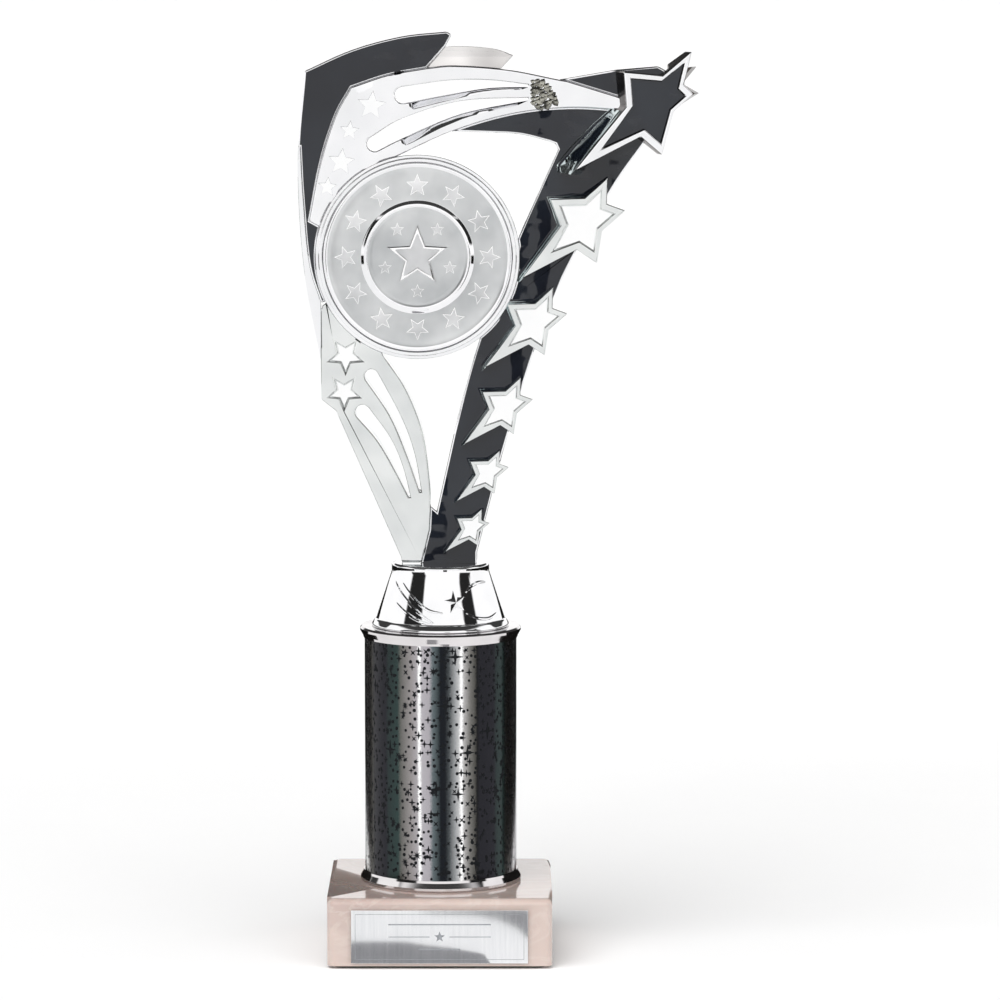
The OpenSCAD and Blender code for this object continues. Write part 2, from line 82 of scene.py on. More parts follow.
class Dress:
    """One material's node tree, with short calls for the nodes that the finishes share."""

    def __init__(self, name: str) -> None:
        """Start a material with a Principled shader joined to its output.

        Args:
            name: Name of the material.
        """
        self.material = bpy.data.materials.new(name)
        self.material.use_nodes = True
        self.tree = self.material.node_tree
        self.tree.nodes.clear()
        self.shader = self.add("ShaderNodeBsdfPrincipled")
        out = self.add("ShaderNodeOutputMaterial")
        self.tree.links.new(self.shader.outputs[0], out.inputs["Surface"])
        self.place = self.add("ShaderNodeTexCoord").outputs["Object"]

    def add(self, kind: str, **settings: object) -> bpy.types.Node:
        """Add a node and set its properties.

        Args:
            kind: Type name of the node.
            settings: Properties of the node.

        Returns:
            The new node.
        """
        node = self.tree.nodes.new(kind)
        for key, value in settings.items():
            setattr(node, key, value)
        return node

    def join(self, source: bpy.types.NodeSocket, node: bpy.types.Node, socket: str) -> None:
        """Link a socket to a node's named input."""
        self.tree.links.new(source, node.inputs[socket])

    def steady(self, **values: object) -> None:
        """Set values that are the same all over, on the shader's own sockets."""
        for key, value in values.items():
            name = key.replace("_", " ")
            self.shader.inputs[name].default_value = value

    def colour(self, socket: bpy.types.NodeSocket) -> None:
        """Feed the base colour."""
        self.join(socket, self.shader, "Base Color")

    def stretched(self, x: float, y: float, z: float) -> bpy.types.NodeSocket:
        """Object coordinates scaled along each axis.

        Args:
            x: Scale along X.
            y: Scale along Y.
            z: Scale along Z.

        Returns:
            The vector socket.
        """
        mapping = self.add("ShaderNodeMapping")
        self.join(self.place, mapping, "Vector")
        mapping.inputs["Scale"].default_value = (x, y, z)
        return mapping.outputs["Vector"]

    def noise(self, scale: float, detail: float = 3.0, rough: float = 0.5,
              vector: Optional[bpy.types.NodeSocket] = None,
              distort: float = 0.0) -> bpy.types.NodeSocket:
        """Noise in the object's own coordinates.

        Args:
            scale: Waves to the metre.
            detail: Octaves.
            rough: Share that each octave keeps.
            vector: Coordinates, or the object's own when left out.
            distort: How far the noise twists itself.

        Returns:
            The noise factor, 0 to 1.
        """
        node = self.add("ShaderNodeTexNoise")
        self.join(vector or self.place, node, "Vector")
        for key, value in (("Scale", scale), ("Detail", detail), ("Roughness", rough),
                           ("Distortion", distort)):
            node.inputs[key].default_value = value
        return node.outputs["Fac"]

    def ramp(self, factor: bpy.types.NodeSocket,
             stops: Sequence[tuple[float, Colour]]) -> bpy.types.NodeSocket:
        """Colour ramp.

        Args:
            factor: Input from 0 to 1.
            stops: Position and colour of each stop.

        Returns:
            The colour socket.
        """
        node = self.add("ShaderNodeValToRGB")
        self.join(factor, node, "Fac")
        elements = node.color_ramp.elements
        while len(elements) < len(stops):
            elements.new(0.5)
        for element, (place, shade) in zip(elements, stops):
            element.position = place
            element.color = (*shade, 1.0)
        return node.outputs["Color"]

    def sum(self, kind: str, a: object, b: object = 0.0) -> bpy.types.NodeSocket:
        """One step of arithmetic.

        Args:
            kind: Operation of the Math node.
            a: First number or socket.
            b: Second number or socket.

        Returns:
            The result socket.
        """
        node = self.add("ShaderNodeMath", operation=kind)
        for index, value in enumerate((a, b)):
            if isinstance(value, bpy.types.NodeSocket):
                self.tree.links.new(value, node.inputs[index])
            else:
                node.inputs[index].default_value = value
        return node.outputs[0]

    def span(self, value: bpy.types.NodeSocket, low: float, high: float) -> bpy.types.NodeSocket:
        """Map 0 to 1 onto low to high.

        Args:
            value: Factor from 0 to 1.
            low: Result at 0.
            high: Result at 1.

        Returns:
            The mapped socket.
        """
        return self.sum("ADD", self.sum("MULTIPLY", value, high - low), low)

    def relief(self, height: bpy.types.NodeSocket, depth_mm: float,
               under: Optional[bpy.types.NodeSocket] = None) -> bpy.types.NodeSocket:
        """Bump the surface and feed the shader's normal.

        Args:
            height: Height factor, 0 to 1.
            depth_mm: Height of the whole range, in millimetres.
            under: A normal to build on.

        Returns:
            The normal socket.
        """
        node = self.add("ShaderNodeBump")
        node.inputs["Distance"].default_value = depth_mm * MM
        self.join(height, node, "Height")
        if under is not None:
            self.join(under, node, "Normal")
        self.join(node.outputs["Normal"], self.shader, "Normal")
        return node.outputs["Normal"]


@dataclass(frozen=True)
class Plating:
    """Bright silver plating over a moulding: a mirror with slight waves and wipe marks."""

    name: str = "silver_plating"
    light: Colour = (0.91, 0.91, 0.925)
    dark: Colour = (0.83, 0.835, 0.85)
    rough: tuple[float, float] = (0.03, 0.08)
    wave_mm: float = 0.10
    cloud: float = 90

    def build(self) -> bpy.types.Material:
        """Make the material."""
        dress = Dress(self.name)
        dress.steady(Metallic=1.0)
        cloud = dress.noise(self.cloud, 2.0)
        dress.colour(dress.ramp(cloud, [(0.3, self.dark), (0.7, self.light)]))
        wipe = dress.noise(1.0, 4.0, 0.6, dress.stretched(260, 260, 900))
        dress.join(dress.span(wipe, *self.rough), dress.shader, "Roughness")
        waves = dress.relief(dress.noise(55, 1.0, 0.4), self.wave_mm)
        dress.relief(dress.noise(1400, 2.0), 0.0006, waves)
        return dress.material


@dataclass(frozen=True)
class Lacquer:
    """Black gloss lacquer over a long swell in the casting, with a trace of orange peel."""

    name: str = "black_lacquer"
    deep: Colour = (0.004, 0.005, 0.009)
    thin: Colour = (0.010, 0.013, 0.019)
    swell_mm: float = 1.15
    period_mm: float = 27
    crest_mm: float = -3
    calm_mm: float = -20
    ease_mm: float = 10
    stray_mm: float = 5

    def build(self) -> bpy.types.Material:
        """Make the material."""
        dress = Dress(self.name)
        dress.steady(IOR=1.5, Coat_Weight=0.1, Coat_Roughness=0.02)
        cloud = dress.noise(70, 2.0)
        dress.colour(dress.ramp(cloud, [(0.35, self.deep), (0.75, self.thin)]))
        dress.join(dress.span(dress.noise(600, 3.0), 0.03, 0.07), dress.shader, "Roughness")
        split = dress.add("ShaderNodeSeparateXYZ")
        dress.join(dress.place, split, "Vector")
        across = dress.sum("DIVIDE", split.outputs["X"], MM)
        noise = dress.noise(1.0, 2.0, 0.5, dress.stretched(60, 60, 90))
        strayed = dress.sum("ADD", across, dress.sum("MULTIPLY", noise, self.stray_mm))
        start = dress.sum("SUBTRACT", strayed, self.crest_mm + self.stray_mm / 2)
        turn = dress.sum("MULTIPLY", start, 2 * math.pi / self.period_mm)
        wave = dress.sum("MULTIPLY", dress.sum("SINE", turn), -0.5)
        ease = dress.sum("DIVIDE", dress.sum("SUBTRACT", across, self.calm_mm), self.ease_mm)
        ease = dress.sum("MAXIMUM", dress.sum("MINIMUM", ease, 1.0), 0.0)
        swell = dress.relief(dress.sum("MULTIPLY", wave, ease), self.swell_mm)
        dress.relief(dress.noise(900, 1.0), 0.0010, swell)
        return dress.material


@dataclass(frozen=True)
class DiscMetal:
    """Pressed metal of the centre disc: satin silver, or the grainy faces of its stars."""

    name: str = "disc_satin"
    light: Colour = (0.69, 0.70, 0.705)
    dark: Colour = (0.49, 0.505, 0.515)
    rough: tuple[float, float] = (0.26, 0.36)
    grain_mm: float = 0.004
    grains: float = 2600

    def build(self) -> bpy.types.Material:
        """Make the material."""
        dress = Dress(self.name)
        dress.steady(Metallic=1.0)
        cloud = dress.noise(75, 3.0)
        dress.colour(dress.ramp(cloud, [(0.3, self.dark), (0.7, self.light)]))
        dress.join(dress.span(dress.noise(420, 3.0), *self.rough), dress.shader, "Roughness")
        base = dress.relief(dress.noise(38, 1.0), 0.16)
        dress.relief(dress.noise(self.grains, 2.0, 0.7), self.grain_mm, base)
        return dress.material


@dataclass(frozen=True)
class Stone:
    """Polished pink-cream marble: cloudy layers and fine pale veins."""

    name: str = "pink_marble"
    cream: Colour = (0.50, 0.405, 0.365)
    rose: Colour = (0.42, 0.325, 0.295)
    vein: Colour = (0.57, 0.50, 0.46)

    def build(self) -> bpy.types.Material:
        """Make the material."""
        dress = Dress(self.name)
        dress.steady(Coat_Weight=0.6, Coat_Roughness=0.04, Subsurface_Weight=0.06,
                     Subsurface_Scale=0.004)
        layers = dress.noise(1.0, 5.0, 0.55, dress.stretched(16, 16, 55), 0.6)
        body = dress.ramp(layers, [(0.32, self.rose), (0.5, self.cream), (0.72, self.cream)])
        lines = dress.noise(1.0, 6.0, 0.6, dress.stretched(45, 45, 80), 2.0)
        away = dress.sum("ABSOLUTE", dress.sum("SUBTRACT", lines, 0.5))
        thin = dress.sum("SUBTRACT", 1.0, dress.sum(
            "MINIMUM", dress.sum("MULTIPLY", away, 18.0), 1.0))
        mix = dress.add("ShaderNodeMix", data_type="RGBA")
        dress.tree.links.new(dress.sum("MULTIPLY", thin, 0.35), mix.inputs[0])
        dress.tree.links.new(body, mix.inputs[6])
        mix.inputs[7].default_value = (*self.vein, 1.0)
        dress.colour(mix.outputs[2])
        dress.join(dress.span(dress.noise(300, 3.0), 0.10, 0.22), dress.shader, "Roughness")
        dress.relief(dress.noise(220, 2.0), 0.004)
        return dress.material


@dataclass(frozen=True)
class Foil:
    """Dark metallised foil with a glitter; upright stripes of painted reflection repeat round it.
    """

    name: str = "star_foil"
    repeats: int = 4
    # Angle round the tube in degrees and the base colour there: painted reflections, dark stripes
    # and white streaks.
    painted_reflection_bands: tuple[tuple[float, Colour], ...] = (
        (-45, (0.018, 0.018, 0.024)), (-42, (0.024, 0.036, 0.036)), (-33, (0.032, 0.055, 0.052)),
        (-30.5, (0.13, 0.13, 0.12)), (-22, (0.30, 0.28, 0.28)), (-17.2, (0.40, 0.38, 0.40)),
        (-16.2, (1.0, 1.0, 1.0)), (-15, (1.0, 1.0, 1.0)), (-13.8, (0.46, 0.44, 0.47)),
        (-8, (0.40, 0.38, 0.41)), (-5.5, (0.12, 0.15, 0.16)), (-1.5, (0.05, 0.065, 0.07)),
        (0.6, (0.006, 0.008, 0.012)), (4.5, (0.008, 0.010, 0.014)), (7.5, (0.07, 0.08, 0.085)),
        (12, (0.34, 0.35, 0.36)), (15, (0.55, 0.55, 0.56)), (16, (1.0, 1.0, 1.0)),
        (17.2, (1.0, 1.0, 1.0)), (18.5, (0.45, 0.44, 0.44)), (23, (0.18, 0.175, 0.165)),
        (27.5, (0.07, 0.068, 0.062)), (29.2, (0.006, 0.006, 0.007)), (31, (0.016, 0.016, 0.021)),
        (45, (0.018, 0.018, 0.024)))

    def build(self) -> bpy.types.Material:
        """Make the material."""
        dress = Dress(self.name)
        dress.steady(Metallic=1.0, Coat_Weight=0.2, Coat_Roughness=0.03)
        split = dress.add("ShaderNodeSeparateXYZ")
        dress.join(dress.place, split, "Vector")
        x, y, _ = split.outputs
        turn = dress.sum("ARCTAN2", x, dress.sum("MULTIPLY", y, -1.0))
        period = 2 * math.pi / self.repeats
        drift = dress.sum("MULTIPLY", dress.sum("SUBTRACT", dress.noise(
            1.0, 3.0, 0.6, dress.stretched(60, 60, 9)), 0.5), 0.04)
        grit = dress.noise(3600, 2.0, 0.8)
        blur = dress.sum("MULTIPLY", dress.sum("SUBTRACT", grit, 0.5), 0.05)
        place = dress.sum("ADD", dress.sum("ADD", dress.sum("DIVIDE", turn, period), 0.5),
                          dress.sum("ADD", drift, blur))
        width = math.degrees(period)
        dress.colour(dress.ramp(dress.sum("FRACT", place),
                                [(angle / width + 0.5, shade) for angle, shade in self.painted_reflection_bands]))
        dress.join(dress.span(dress.noise(800, 2.0), 0.16, 0.28), dress.shader, "Roughness")
        dress.relief(grit, 0.012)
        return dress.material


@dataclass(frozen=True)
class Plain:
    """A matt or satin finish with mottled colour and a grain, for the parts that don't shine."""

    name: str
    light: Colour
    dark: Colour
    scale: float = 500
    rough: tuple[float, float] = (0.5, 0.7)
    depth_mm: float = 0.01
    sheen: float = 0.0
    gloss: float = 0.5

    def build(self) -> bpy.types.Material:
        """Make the material."""
        dress = Dress(self.name)
        dress.steady(Sheen_Weight=self.sheen, Specular_IOR_Level=self.gloss)
        cloud = dress.noise(self.scale, 4.0, 0.6)
        dress.colour(dress.ramp(cloud, [(0.3, self.dark), (0.7, self.light)]))
        dress.join(dress.span(dress.noise(self.scale * 2, 3.0), *self.rough),
                   dress.shader, "Roughness")
        dress.relief(dress.noise(self.scale * 3, 3.0, 0.7), self.depth_mm)
        return dress.material


@dataclass(frozen=True)
class Brushed:
    """Turned or rolled steel and aluminium, with its fine lines along one axis."""

    name: str
    light: Colour
    dark: Colour
    lines: tuple[float, float, float] = (40, 40, 3000)
    rough: tuple[float, float] = (0.08, 0.2)
    swell_mm: float = 0.0

    def build(self) -> bpy.types.Material:
        """Make the material."""
        dress = Dress(self.name)
        dress.steady(Metallic=1.0)
        lines = dress.noise(1.0, 4.0, 0.7, dress.stretched(*self.lines))
        dress.colour(dress.ramp(lines, [(0.3, self.dark), (0.7, self.light)]))
        dress.join(dress.span(lines, *self.rough), dress.shader, "Roughness")
        normal = dress.relief(lines, 0.0015)
        if self.swell_mm:
            dress.relief(dress.noise(1.0, 1.0, 0.4, dress.stretched(38, 4, 75)),
                         self.swell_mm, normal)
        return dress.material


class Finish(Enum):
    """Every finish on the trophy."""

    PLATING = Plating()
    # Teal-tinted copy of the plating for the star fillets: real reflection with a painted teal
    # glint.
    SKIRT = Plating("edge_plating_painted_teal_glint", (0.80, 0.87, 0.86), (0.52, 0.62, 0.63), (0.05, 0.12), 0.2)
    LACQUER = Lacquer()
    SATIN = DiscMetal()
    GRAINY = DiscMetal("disc_grain", (0.86, 0.86, 0.87), (0.50, 0.51, 0.52), (0.3, 0.45), 0.02,
                       5200)
    STONE = Stone()
    FOIL = Foil()
    # Lighter copy of the plating for the faces of stars and the disc stars' ridges: painted
    # highlight.
    PAINTED_HIGHLIGHT = Plating("painted_highlight_plating", (0.985, 0.985, 0.985), (0.94, 0.945, 0.95))
    # Plating mottled in fine spots from grey-green to near black, for the collar.
    MOTTLED_DARK = Plating("mottled_dark_plating", (0.52, 0.51, 0.45), (0.02, 0.02, 0.017), (0.08, 0.2), 0.4, 650)
    # Darker copy of the plating for the wing and the small stars' rims: painted shade.
    PAINTED_SHADE = Plating("painted_shade_plating", (0.80, 0.815, 0.81), (0.67, 0.69, 0.69))
    # Dark copy of the plating for the walls of the large star: painted shade.
    SHADED_WALLS = Plating("shaded_wall_plating", (0.13, 0.11, 0.10), (0.02, 0.017, 0.016), (0.1, 0.2), 0.4,
                     200)
    CAP = Plating("cap_plating", (0.80, 0.775, 0.78), (0.66, 0.64, 0.65), (0.05, 0.11), 0.08)
    RIBBON = Plating("ribbon_plating", (0.87, 0.85, 0.84), (0.42, 0.405, 0.40), (0.05, 0.12), 0.3,
                     50)
    SPARKLE = Plain("sparkle_print", (0.007, 0.008, 0.010), (0.003, 0.004, 0.005), 900,
                    (0.4, 0.6), 0.004, gloss=0.12)
    CARD = Plain("grey_card", (0.30, 0.30, 0.31), (0.26, 0.26, 0.27), 60, (0.9, 1.0), gloss=0.0)
    FLAG = Plain("black_card", (0.012, 0.011, 0.010), (0.006, 0.006, 0.006), 60, (0.9, 1.0),
                 gloss=0.0)
    PLATE = Brushed("plate_aluminium", (0.86, 0.865, 0.88), (0.74, 0.75, 0.77),
                    (1500, 40, 60), (0.07, 0.13), 0.12)
    RULES = Plain("engraved_rule", (0.27, 0.28, 0.30), (0.19, 0.20, 0.21), 1500, (0.4, 0.6), 0.004)
    STEEL = Brushed("zinc_steel", (0.62, 0.62, 0.60), (0.46, 0.46, 0.45), (60, 60, 2600),
                    (0.22, 0.38))
    FELT = Plain("green_felt", (0.045, 0.075, 0.055), (0.012, 0.022, 0.016), 1800, (0.85, 1.0),
                 0.25, 0.4)
    TAPE = Plain("foam_tape", (0.82, 0.81, 0.78), (0.70, 0.69, 0.66), 900, (0.6, 0.8), 0.03)
    PEG = Plain("peg_plastic", (0.78, 0.77, 0.74), (0.68, 0.67, 0.64), 350, (0.35, 0.5), 0.01)
    TUBE = Plain("tube_plastic", (0.05, 0.05, 0.055), (0.03, 0.03, 0.034), 260, (0.3, 0.45), 0.01)
    FLOOR = Plain("pale_floor", (0.93, 0.93, 0.93), (0.915, 0.915, 0.915), 6, (0.8, 0.9), 0.02,
                  gloss=0.0)

    def material(self) -> bpy.types.Material:
        """The finish's material, made the first time it is asked for."""
        found = bpy.data.materials.get(self.value.name)
        return found or self.value.build()


# ---------------------------------------------------------------- mesh work


def put(name: str, mesh: bpy.types.Mesh, finishes: Sequence[Finish]) -> bpy.types.Object:
    """Make an object of a finished mesh and give it its materials.

    Args:
        name: Name of the piece.
        mesh: Its mesh, placed in the row frame.
        finishes: One finish for each material index.

    Returns:
        The object.
    """
    mesh.name = name
    kept = [face.material_index for face in mesh.polygons]
    mesh.materials.clear()
    for finish in finishes:
        mesh.materials.append(finish.material())
    mesh.polygons.foreach_set("material_index", kept)
    piece = bpy.data.objects.new(name, mesh)
    bpy.context.scene.collection.objects.link(piece)
    return piece


def settle(piece: bpy.types.Object) -> bpy.types.Object:
    """Turn the piece's modifiers into plain mesh.

    Args:
        piece: Object with live modifiers.

    Returns:
        The same object, with no modifiers left.
    """
    graph = bpy.context.evaluated_depsgraph_get()
    graph.update()
    done = bpy.data.meshes.new_from_object(piece.evaluated_get(graph))
    piece.modifiers.clear()
    old, piece.data = piece.data, done
    done.name = piece.name
    bpy.data.meshes.remove(old)
    return piece


def claim(piece: bpy.types.Object, slot: str, nodes: Sequence[str] = ()) -> bpy.types.Object:
    """Ride the piece on the trophy, log its slot and hide the CAD nodes that it stands for.

    Args:
        piece: The finished piece.
        slot: Material slot, which is only logged.
        nodes: CAD nodes that it replaces.

    Returns:
        The same object.
    """
    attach(piece, "root")
    if nodes:
        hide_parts(*nodes)
    log.info("%s: %d faces, slot %s, stands for %s", piece.name, len(piece.data.polygons),
             slot, ", ".join(nodes) or "nothing")
    return piece


def middle(edge: bmesh.types.BMEdge) -> Vector:
    """Middle point of an edge."""
    return (edge.verts[0].co + edge.verts[1].co) / 2


class Blank:
    """A working copy of one CAD solid, merged and ready to be edged and dressed."""

    def __init__(self, node: str, weld_mm: float = 0.002) -> None:
        """Copy the solid and merge its loose triangles.

        Args:
            node: Name of the CAD node.
            weld_mm: Corners nearer than this are one.
        """
        self.mesh = bmesh.new()
        self.mesh.from_mesh(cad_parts[node].data)
        bmesh.ops.remove_doubles(self.mesh, verts=self.mesh.verts, dist=weld_mm * MM)
        bmesh.ops.dissolve_limit(self.mesh, angle_limit=math.radians(0.6), verts=self.mesh.verts,
                                 edges=self.mesh.edges, use_dissolve_boundaries=False)

    def edged(self, width_mm: float, steps: int = 2, least: float = 28.0,
              where: Callable[[bmesh.types.BMEdge], bool] = lambda e: True) -> "Blank":
        """Round the solid's edges, save those on the seam between front and rear.

        Args:
            width_mm: Width of the rounding.
            steps: Faces across it.
            least: Smallest angle between faces that is rounded, in degrees.
            where: Which of the edges to round.

        Returns:
            The blank itself.
        """
        picked = [e for e in self.mesh.edges if len(e.link_faces) == 2
                  and e.calc_face_angle(0.0) > math.radians(least)
                  and abs(middle(e).y) > 0.3 * MM and where(e)]
        bmesh.ops.bevel(self.mesh, geom=picked, offset=width_mm * MM, offset_type="OFFSET",
                        segments=steps, profile=0.5, affect="EDGES", clamp_overlap=False,
                        loop_slide=True)
        return self

    def sloped(self, width_mm: float,
               weigh: Callable[[bmesh.types.BMEdge], float]) -> "Blank":
        """Plane a flat slope along some edges, wider or narrower as it runs.

        Args:
            width_mm: Width of the slope at weight 1.
            weigh: Weight of an edge, 0 to leave it alone.

        Returns:
            The blank itself.
        """
        layer = self.mesh.edges.layers.float.new("bevel_weight_edge")
        for edge in self.mesh.edges:
            edge[layer] = weigh(edge)
        mesh = bpy.data.meshes.new("slope")
        self.mesh.to_mesh(mesh)
        piece = bpy.data.objects.new("slope", mesh)
        bpy.context.scene.collection.objects.link(piece)
        plane = piece.modifiers.new("slope", "BEVEL")
        plane.limit_method = "WEIGHT"
        plane.width = width_mm * MM
        plane.segments = 1
        plane.use_clamp_overlap = False
        settle(piece)
        self.mesh.clear()
        self.mesh.from_mesh(piece.data)
        bpy.data.objects.remove(piece)
        return self

    def sorted(self, rule: Callable[[bmesh.types.BMFace], int]) -> "Blank":
        """Give each face a material index.

        Args:
            rule: Returns the index of a face.

        Returns:
            The blank itself.
        """
        self.mesh.normal_update()
        for face in self.mesh.faces:
            face.material_index = rule(face)
        return self

    def made(self, name: str, finishes: Sequence[Finish], sharp: float = 50.0) -> bpy.types.Object:
        """Finish the mesh with flat faces kept flat and rounded edges smooth.

        Args:
            name: Name of the piece.
            finishes: One finish for each material index.
            sharp: Edges above this angle stay sharp, in degrees. Between two broad faces any
                crease does.

        Returns:
            The object.
        """
        self.mesh.normal_update()
        for edge in self.mesh.edges:
            angle = math.degrees(edge.calc_face_angle(0.0))
            broad = all(face.calc_area() > BROAD for face in edge.link_faces)
            edge.smooth = angle < (CREASE if broad else sharp)
        for face in self.mesh.faces:
            face.smooth = True
        mesh = bpy.data.meshes.new(name)
        self.mesh.to_mesh(mesh)
        self.mesh.free()
        piece = put(name, mesh, finishes)
        shade = piece.modifiers.new("flat_faces", "WEIGHTED_NORMAL")
        shade.keep_sharp = True
        return settle(piece)


def outward(face: bmesh.types.BMFace) -> bool:
    """Whether a face looks straight to the front or the rear."""
    return abs(face.normal.y) > 0.97


def full_depth(edge: bmesh.types.BMEdge) -> bool:
    """Whether an edge bounds a side wall that runs in to the seam, and not a pocket's wall."""
    return any(min(abs(v.co.y) for v in face.verts) < 0.1 * MM for face in edge.link_faces
               if abs(face.normal.y) < 0.5)


# ---------------------------------------------------------------- figure


@dataclass
class Lacquered:
    """The black parts of the figure: lacquered faces between bare plated edges."""

    names: tuple[str, ...] = ("band", "bar")
    edge_mm: float = 0.45

    def build(self) -> None:
        """Make the band and the bar, front and rear."""
        for name in self.names:
            for side in ("front", "rear"):
                node = f"{name}_{side}"
                blank = Blank(node).edged(self.edge_mm, where=full_depth)
                blank.sorted(lambda f: 0 if outward(f) else 1)
                piece = blank.made(f"{node}_shell", (Finish.LACQUER, Finish.PLATING))
                claim(piece, "black", (node,))


def on_star(edge: bmesh.types.BMEdge) -> bool:
    """Whether an edge belongs to the top of a star raised on the comet."""
    return abs(middle(edge).y) > STAR_TOP * MM


def beam_slope(edge: bmesh.types.BMEdge) -> float:
    """Weight of the slope along the top of the comet's beams: widest where the slots open.

    Args:
        edge: An edge of the comet.

    Returns:
        Weight from 0 to 1.
    """
    at = middle(edge) / MM
    walls = [face.normal.z for face in edge.link_faces if abs(face.normal.y) < 0.5]
    start, end = SLOPE_X
    on_beam = start < at.x < end and at.z <= SLOPE_TOP and abs(at.y) >= 4
    if len(walls) != 1 or walls[0] < 0.3 or not on_beam:
        return 0.0
    return 1.0 - 0.8 * (at.x - start) / (end - start)


def star_face(node: str, face: bmesh.types.BMFace) -> bool:
    """Whether a front face of a plated part is a star's face, which takes the painted highlight.

    Args:
        node: CAD node of the part.
        face: A face of its shell.

    Returns:
        True for the raised stars of the comet and the sunk ones of the wing and the bar.
    """
    depth = abs(face.calc_center_median().y) / MM
    if node.startswith("comet"):
        return depth > STAR_TOP
    if node.startswith("wing"):
        return SUNK_STAR < depth < WING_FACE and face.calc_area() <= STAR_AREA
    return node.startswith("star") and SUNK_STAR < depth < BAR_STAR_RIM


@dataclass
class Plated:
    """The plated parts of the figure, with their edges rounded as the mould leaves them.

    The large star has plating on its outer faces and, as painted shade, a dark copy on its walls.
    """

    widths: dict[str, float] = field(default_factory=lambda: {
        "comet_front": 0.45, "comet_rear": 0.45, "wing_front": 0.4, "wing_rear": 0.4,
        "edge_trim": 0.15, "ribbon_tail": 0.3, "disc_holder_front": 0.25,
        "disc_holder_rear": 0.25, "big_star_front": 0.4, "big_star_rear": 0.4})
    star_mm: tuple[float, ...] = (0.35, 0.3, 0.25, 0.2, 0.18)
    slope_mm: float = 2.1
    # The wing and the small stars take a darker copy of the plating, painted shade; the faces of
    # the stars on the comet, the wing and the bar a lighter copy, painted highlight.
    finishes: dict[str, tuple[Finish, ...]] = field(default_factory=lambda: {
        "big_star": (Finish.PLATING, Finish.SHADED_WALLS), "ribbon": (Finish.RIBBON,),
        "wing": (Finish.PAINTED_SHADE, Finish.PAINTED_HIGHLIGHT), **{
            f"star_{number}": (Finish.PAINTED_SHADE, Finish.PAINTED_HIGHLIGHT) for number in range(2, 7)}})

    def build(self) -> None:
        """Make every plated part of the figure."""
        widths = dict(self.widths)
        for number in range(2, 7):
            for side in ("front", "rear"):
                widths[f"star_{number}_{side}"] = self.star_mm[number - 2]
        for node, width in widths.items():
            blank = Blank(node)
            if node.startswith("comet"):
                blank.sloped(self.slope_mm, beam_slope)
                blank.edged(width, where=full_depth).edged(0.12, where=on_star)
            else:
                blank.edged(width)
            if node.startswith("big"):
                front = node.endswith("front")
                # faces of the large star that don't look out take the dark copy of the plating:
                # painted shade
                blank.sorted(lambda f: int(f.normal.y > -0.6 if front else f.normal.y < 0.6))
            else:
                blank.sorted(lambda f: int(outward(f) and star_face(node, f)))
            finishes = self.finishes.get(node.rsplit("_", 1)[0], (Finish.PLATING, Finish.PAINTED_HIGHLIGHT))
            claim(blank.made(f"{node}_shell", finishes), "silver", (node,))
        for side in ("front", "rear"):
            node = f"big_star_inlay_{side}"
            piece = Blank(node).edged(0.12).made(f"{node}_shell", (Finish.LACQUER,))
            claim(piece, "black", (node,))


def polar(angle: float, radius: float) -> Point:
    """Point at an angle in degrees and a radius."""
    return radius * math.cos(math.radians(angle)), radius * math.sin(math.radians(angle))


def curve(points: Sequence[Point], steps: int = 8) -> list[Point]:
    """Smooth open curve through points.

    Args:
        points: Points that the curve passes.
        steps: Steps between each pair.

    Returns:
        The curve's points.
    """
    first = [2 * points[0][k] - points[1][k] for k in (0, 1)]
    last = [2 * points[-1][k] - points[-2][k] for k in (0, 1)]
    line = [first, *points, last]
    out = []
    for a, b, c, d in zip(line, line[1:], line[2:], line[3:]):
        for step in range(steps):
            t = step / steps
            out.append(tuple(0.5 * (2 * b[k] + (c[k] - a[k]) * t
                                    + (2 * a[k] - 5 * b[k] + 4 * c[k] - d[k]) * t ** 2
                                    + (3 * b[k] - a[k] - 3 * c[k] + d[k]) * t ** 3)
                             for k in (0, 1)))
    return out + [tuple(points[-1])]


def loft(mesh: bmesh.types.BMesh, loops: Sequence[Sequence[Vector]],
         row_finish: Callable[[int], int] = lambda row: 0) -> None:
    """Join closed loops of equal length into a skin with capped ends.

    Args:
        mesh: Mesh that receives the skin.
        loops: Cross-sections in order.
        row_finish: Material index of each row of the cross-section.
    """
    rows = [[mesh.verts.new(point) for point in loop] for loop in loops]
    count = len(rows[0])
    for one, two in zip(rows, rows[1:]):
        for k in range(count):
            face = mesh.faces.new((one[k], one[(k + 1) % count], two[(k + 1) % count], two[k]))
            face.material_index = row_finish(k)
    for end in (rows[0], rows[-1]):
        mesh.faces.new(end)


def close(mesh: bmesh.types.BMesh, name: str, finishes: Sequence[Finish],
          smooth: float = 40.0) -> bpy.types.Object:
    """Point a hand-built mesh's faces outwards and make an object of it.

    Args:
        mesh: The built mesh, in metres.
        name: Name of the piece.
        finishes: One finish for each material index.
        smooth: Edges below this angle are shaded smooth, in degrees.

    Returns:
        The object.
    """
    bmesh.ops.remove_doubles(mesh, verts=mesh.verts, dist=1e-6)
    bmesh.ops.recalc_face_normals(mesh, faces=mesh.faces)
    for edge in mesh.edges:
        edge.smooth = edge.calc_face_angle(0.0) < math.radians(smooth)
    for face in mesh.faces:
        face.smooth = True
    data = bpy.data.meshes.new(name)
    mesh.to_mesh(data)
    mesh.free()
    return put(name, data, finishes)


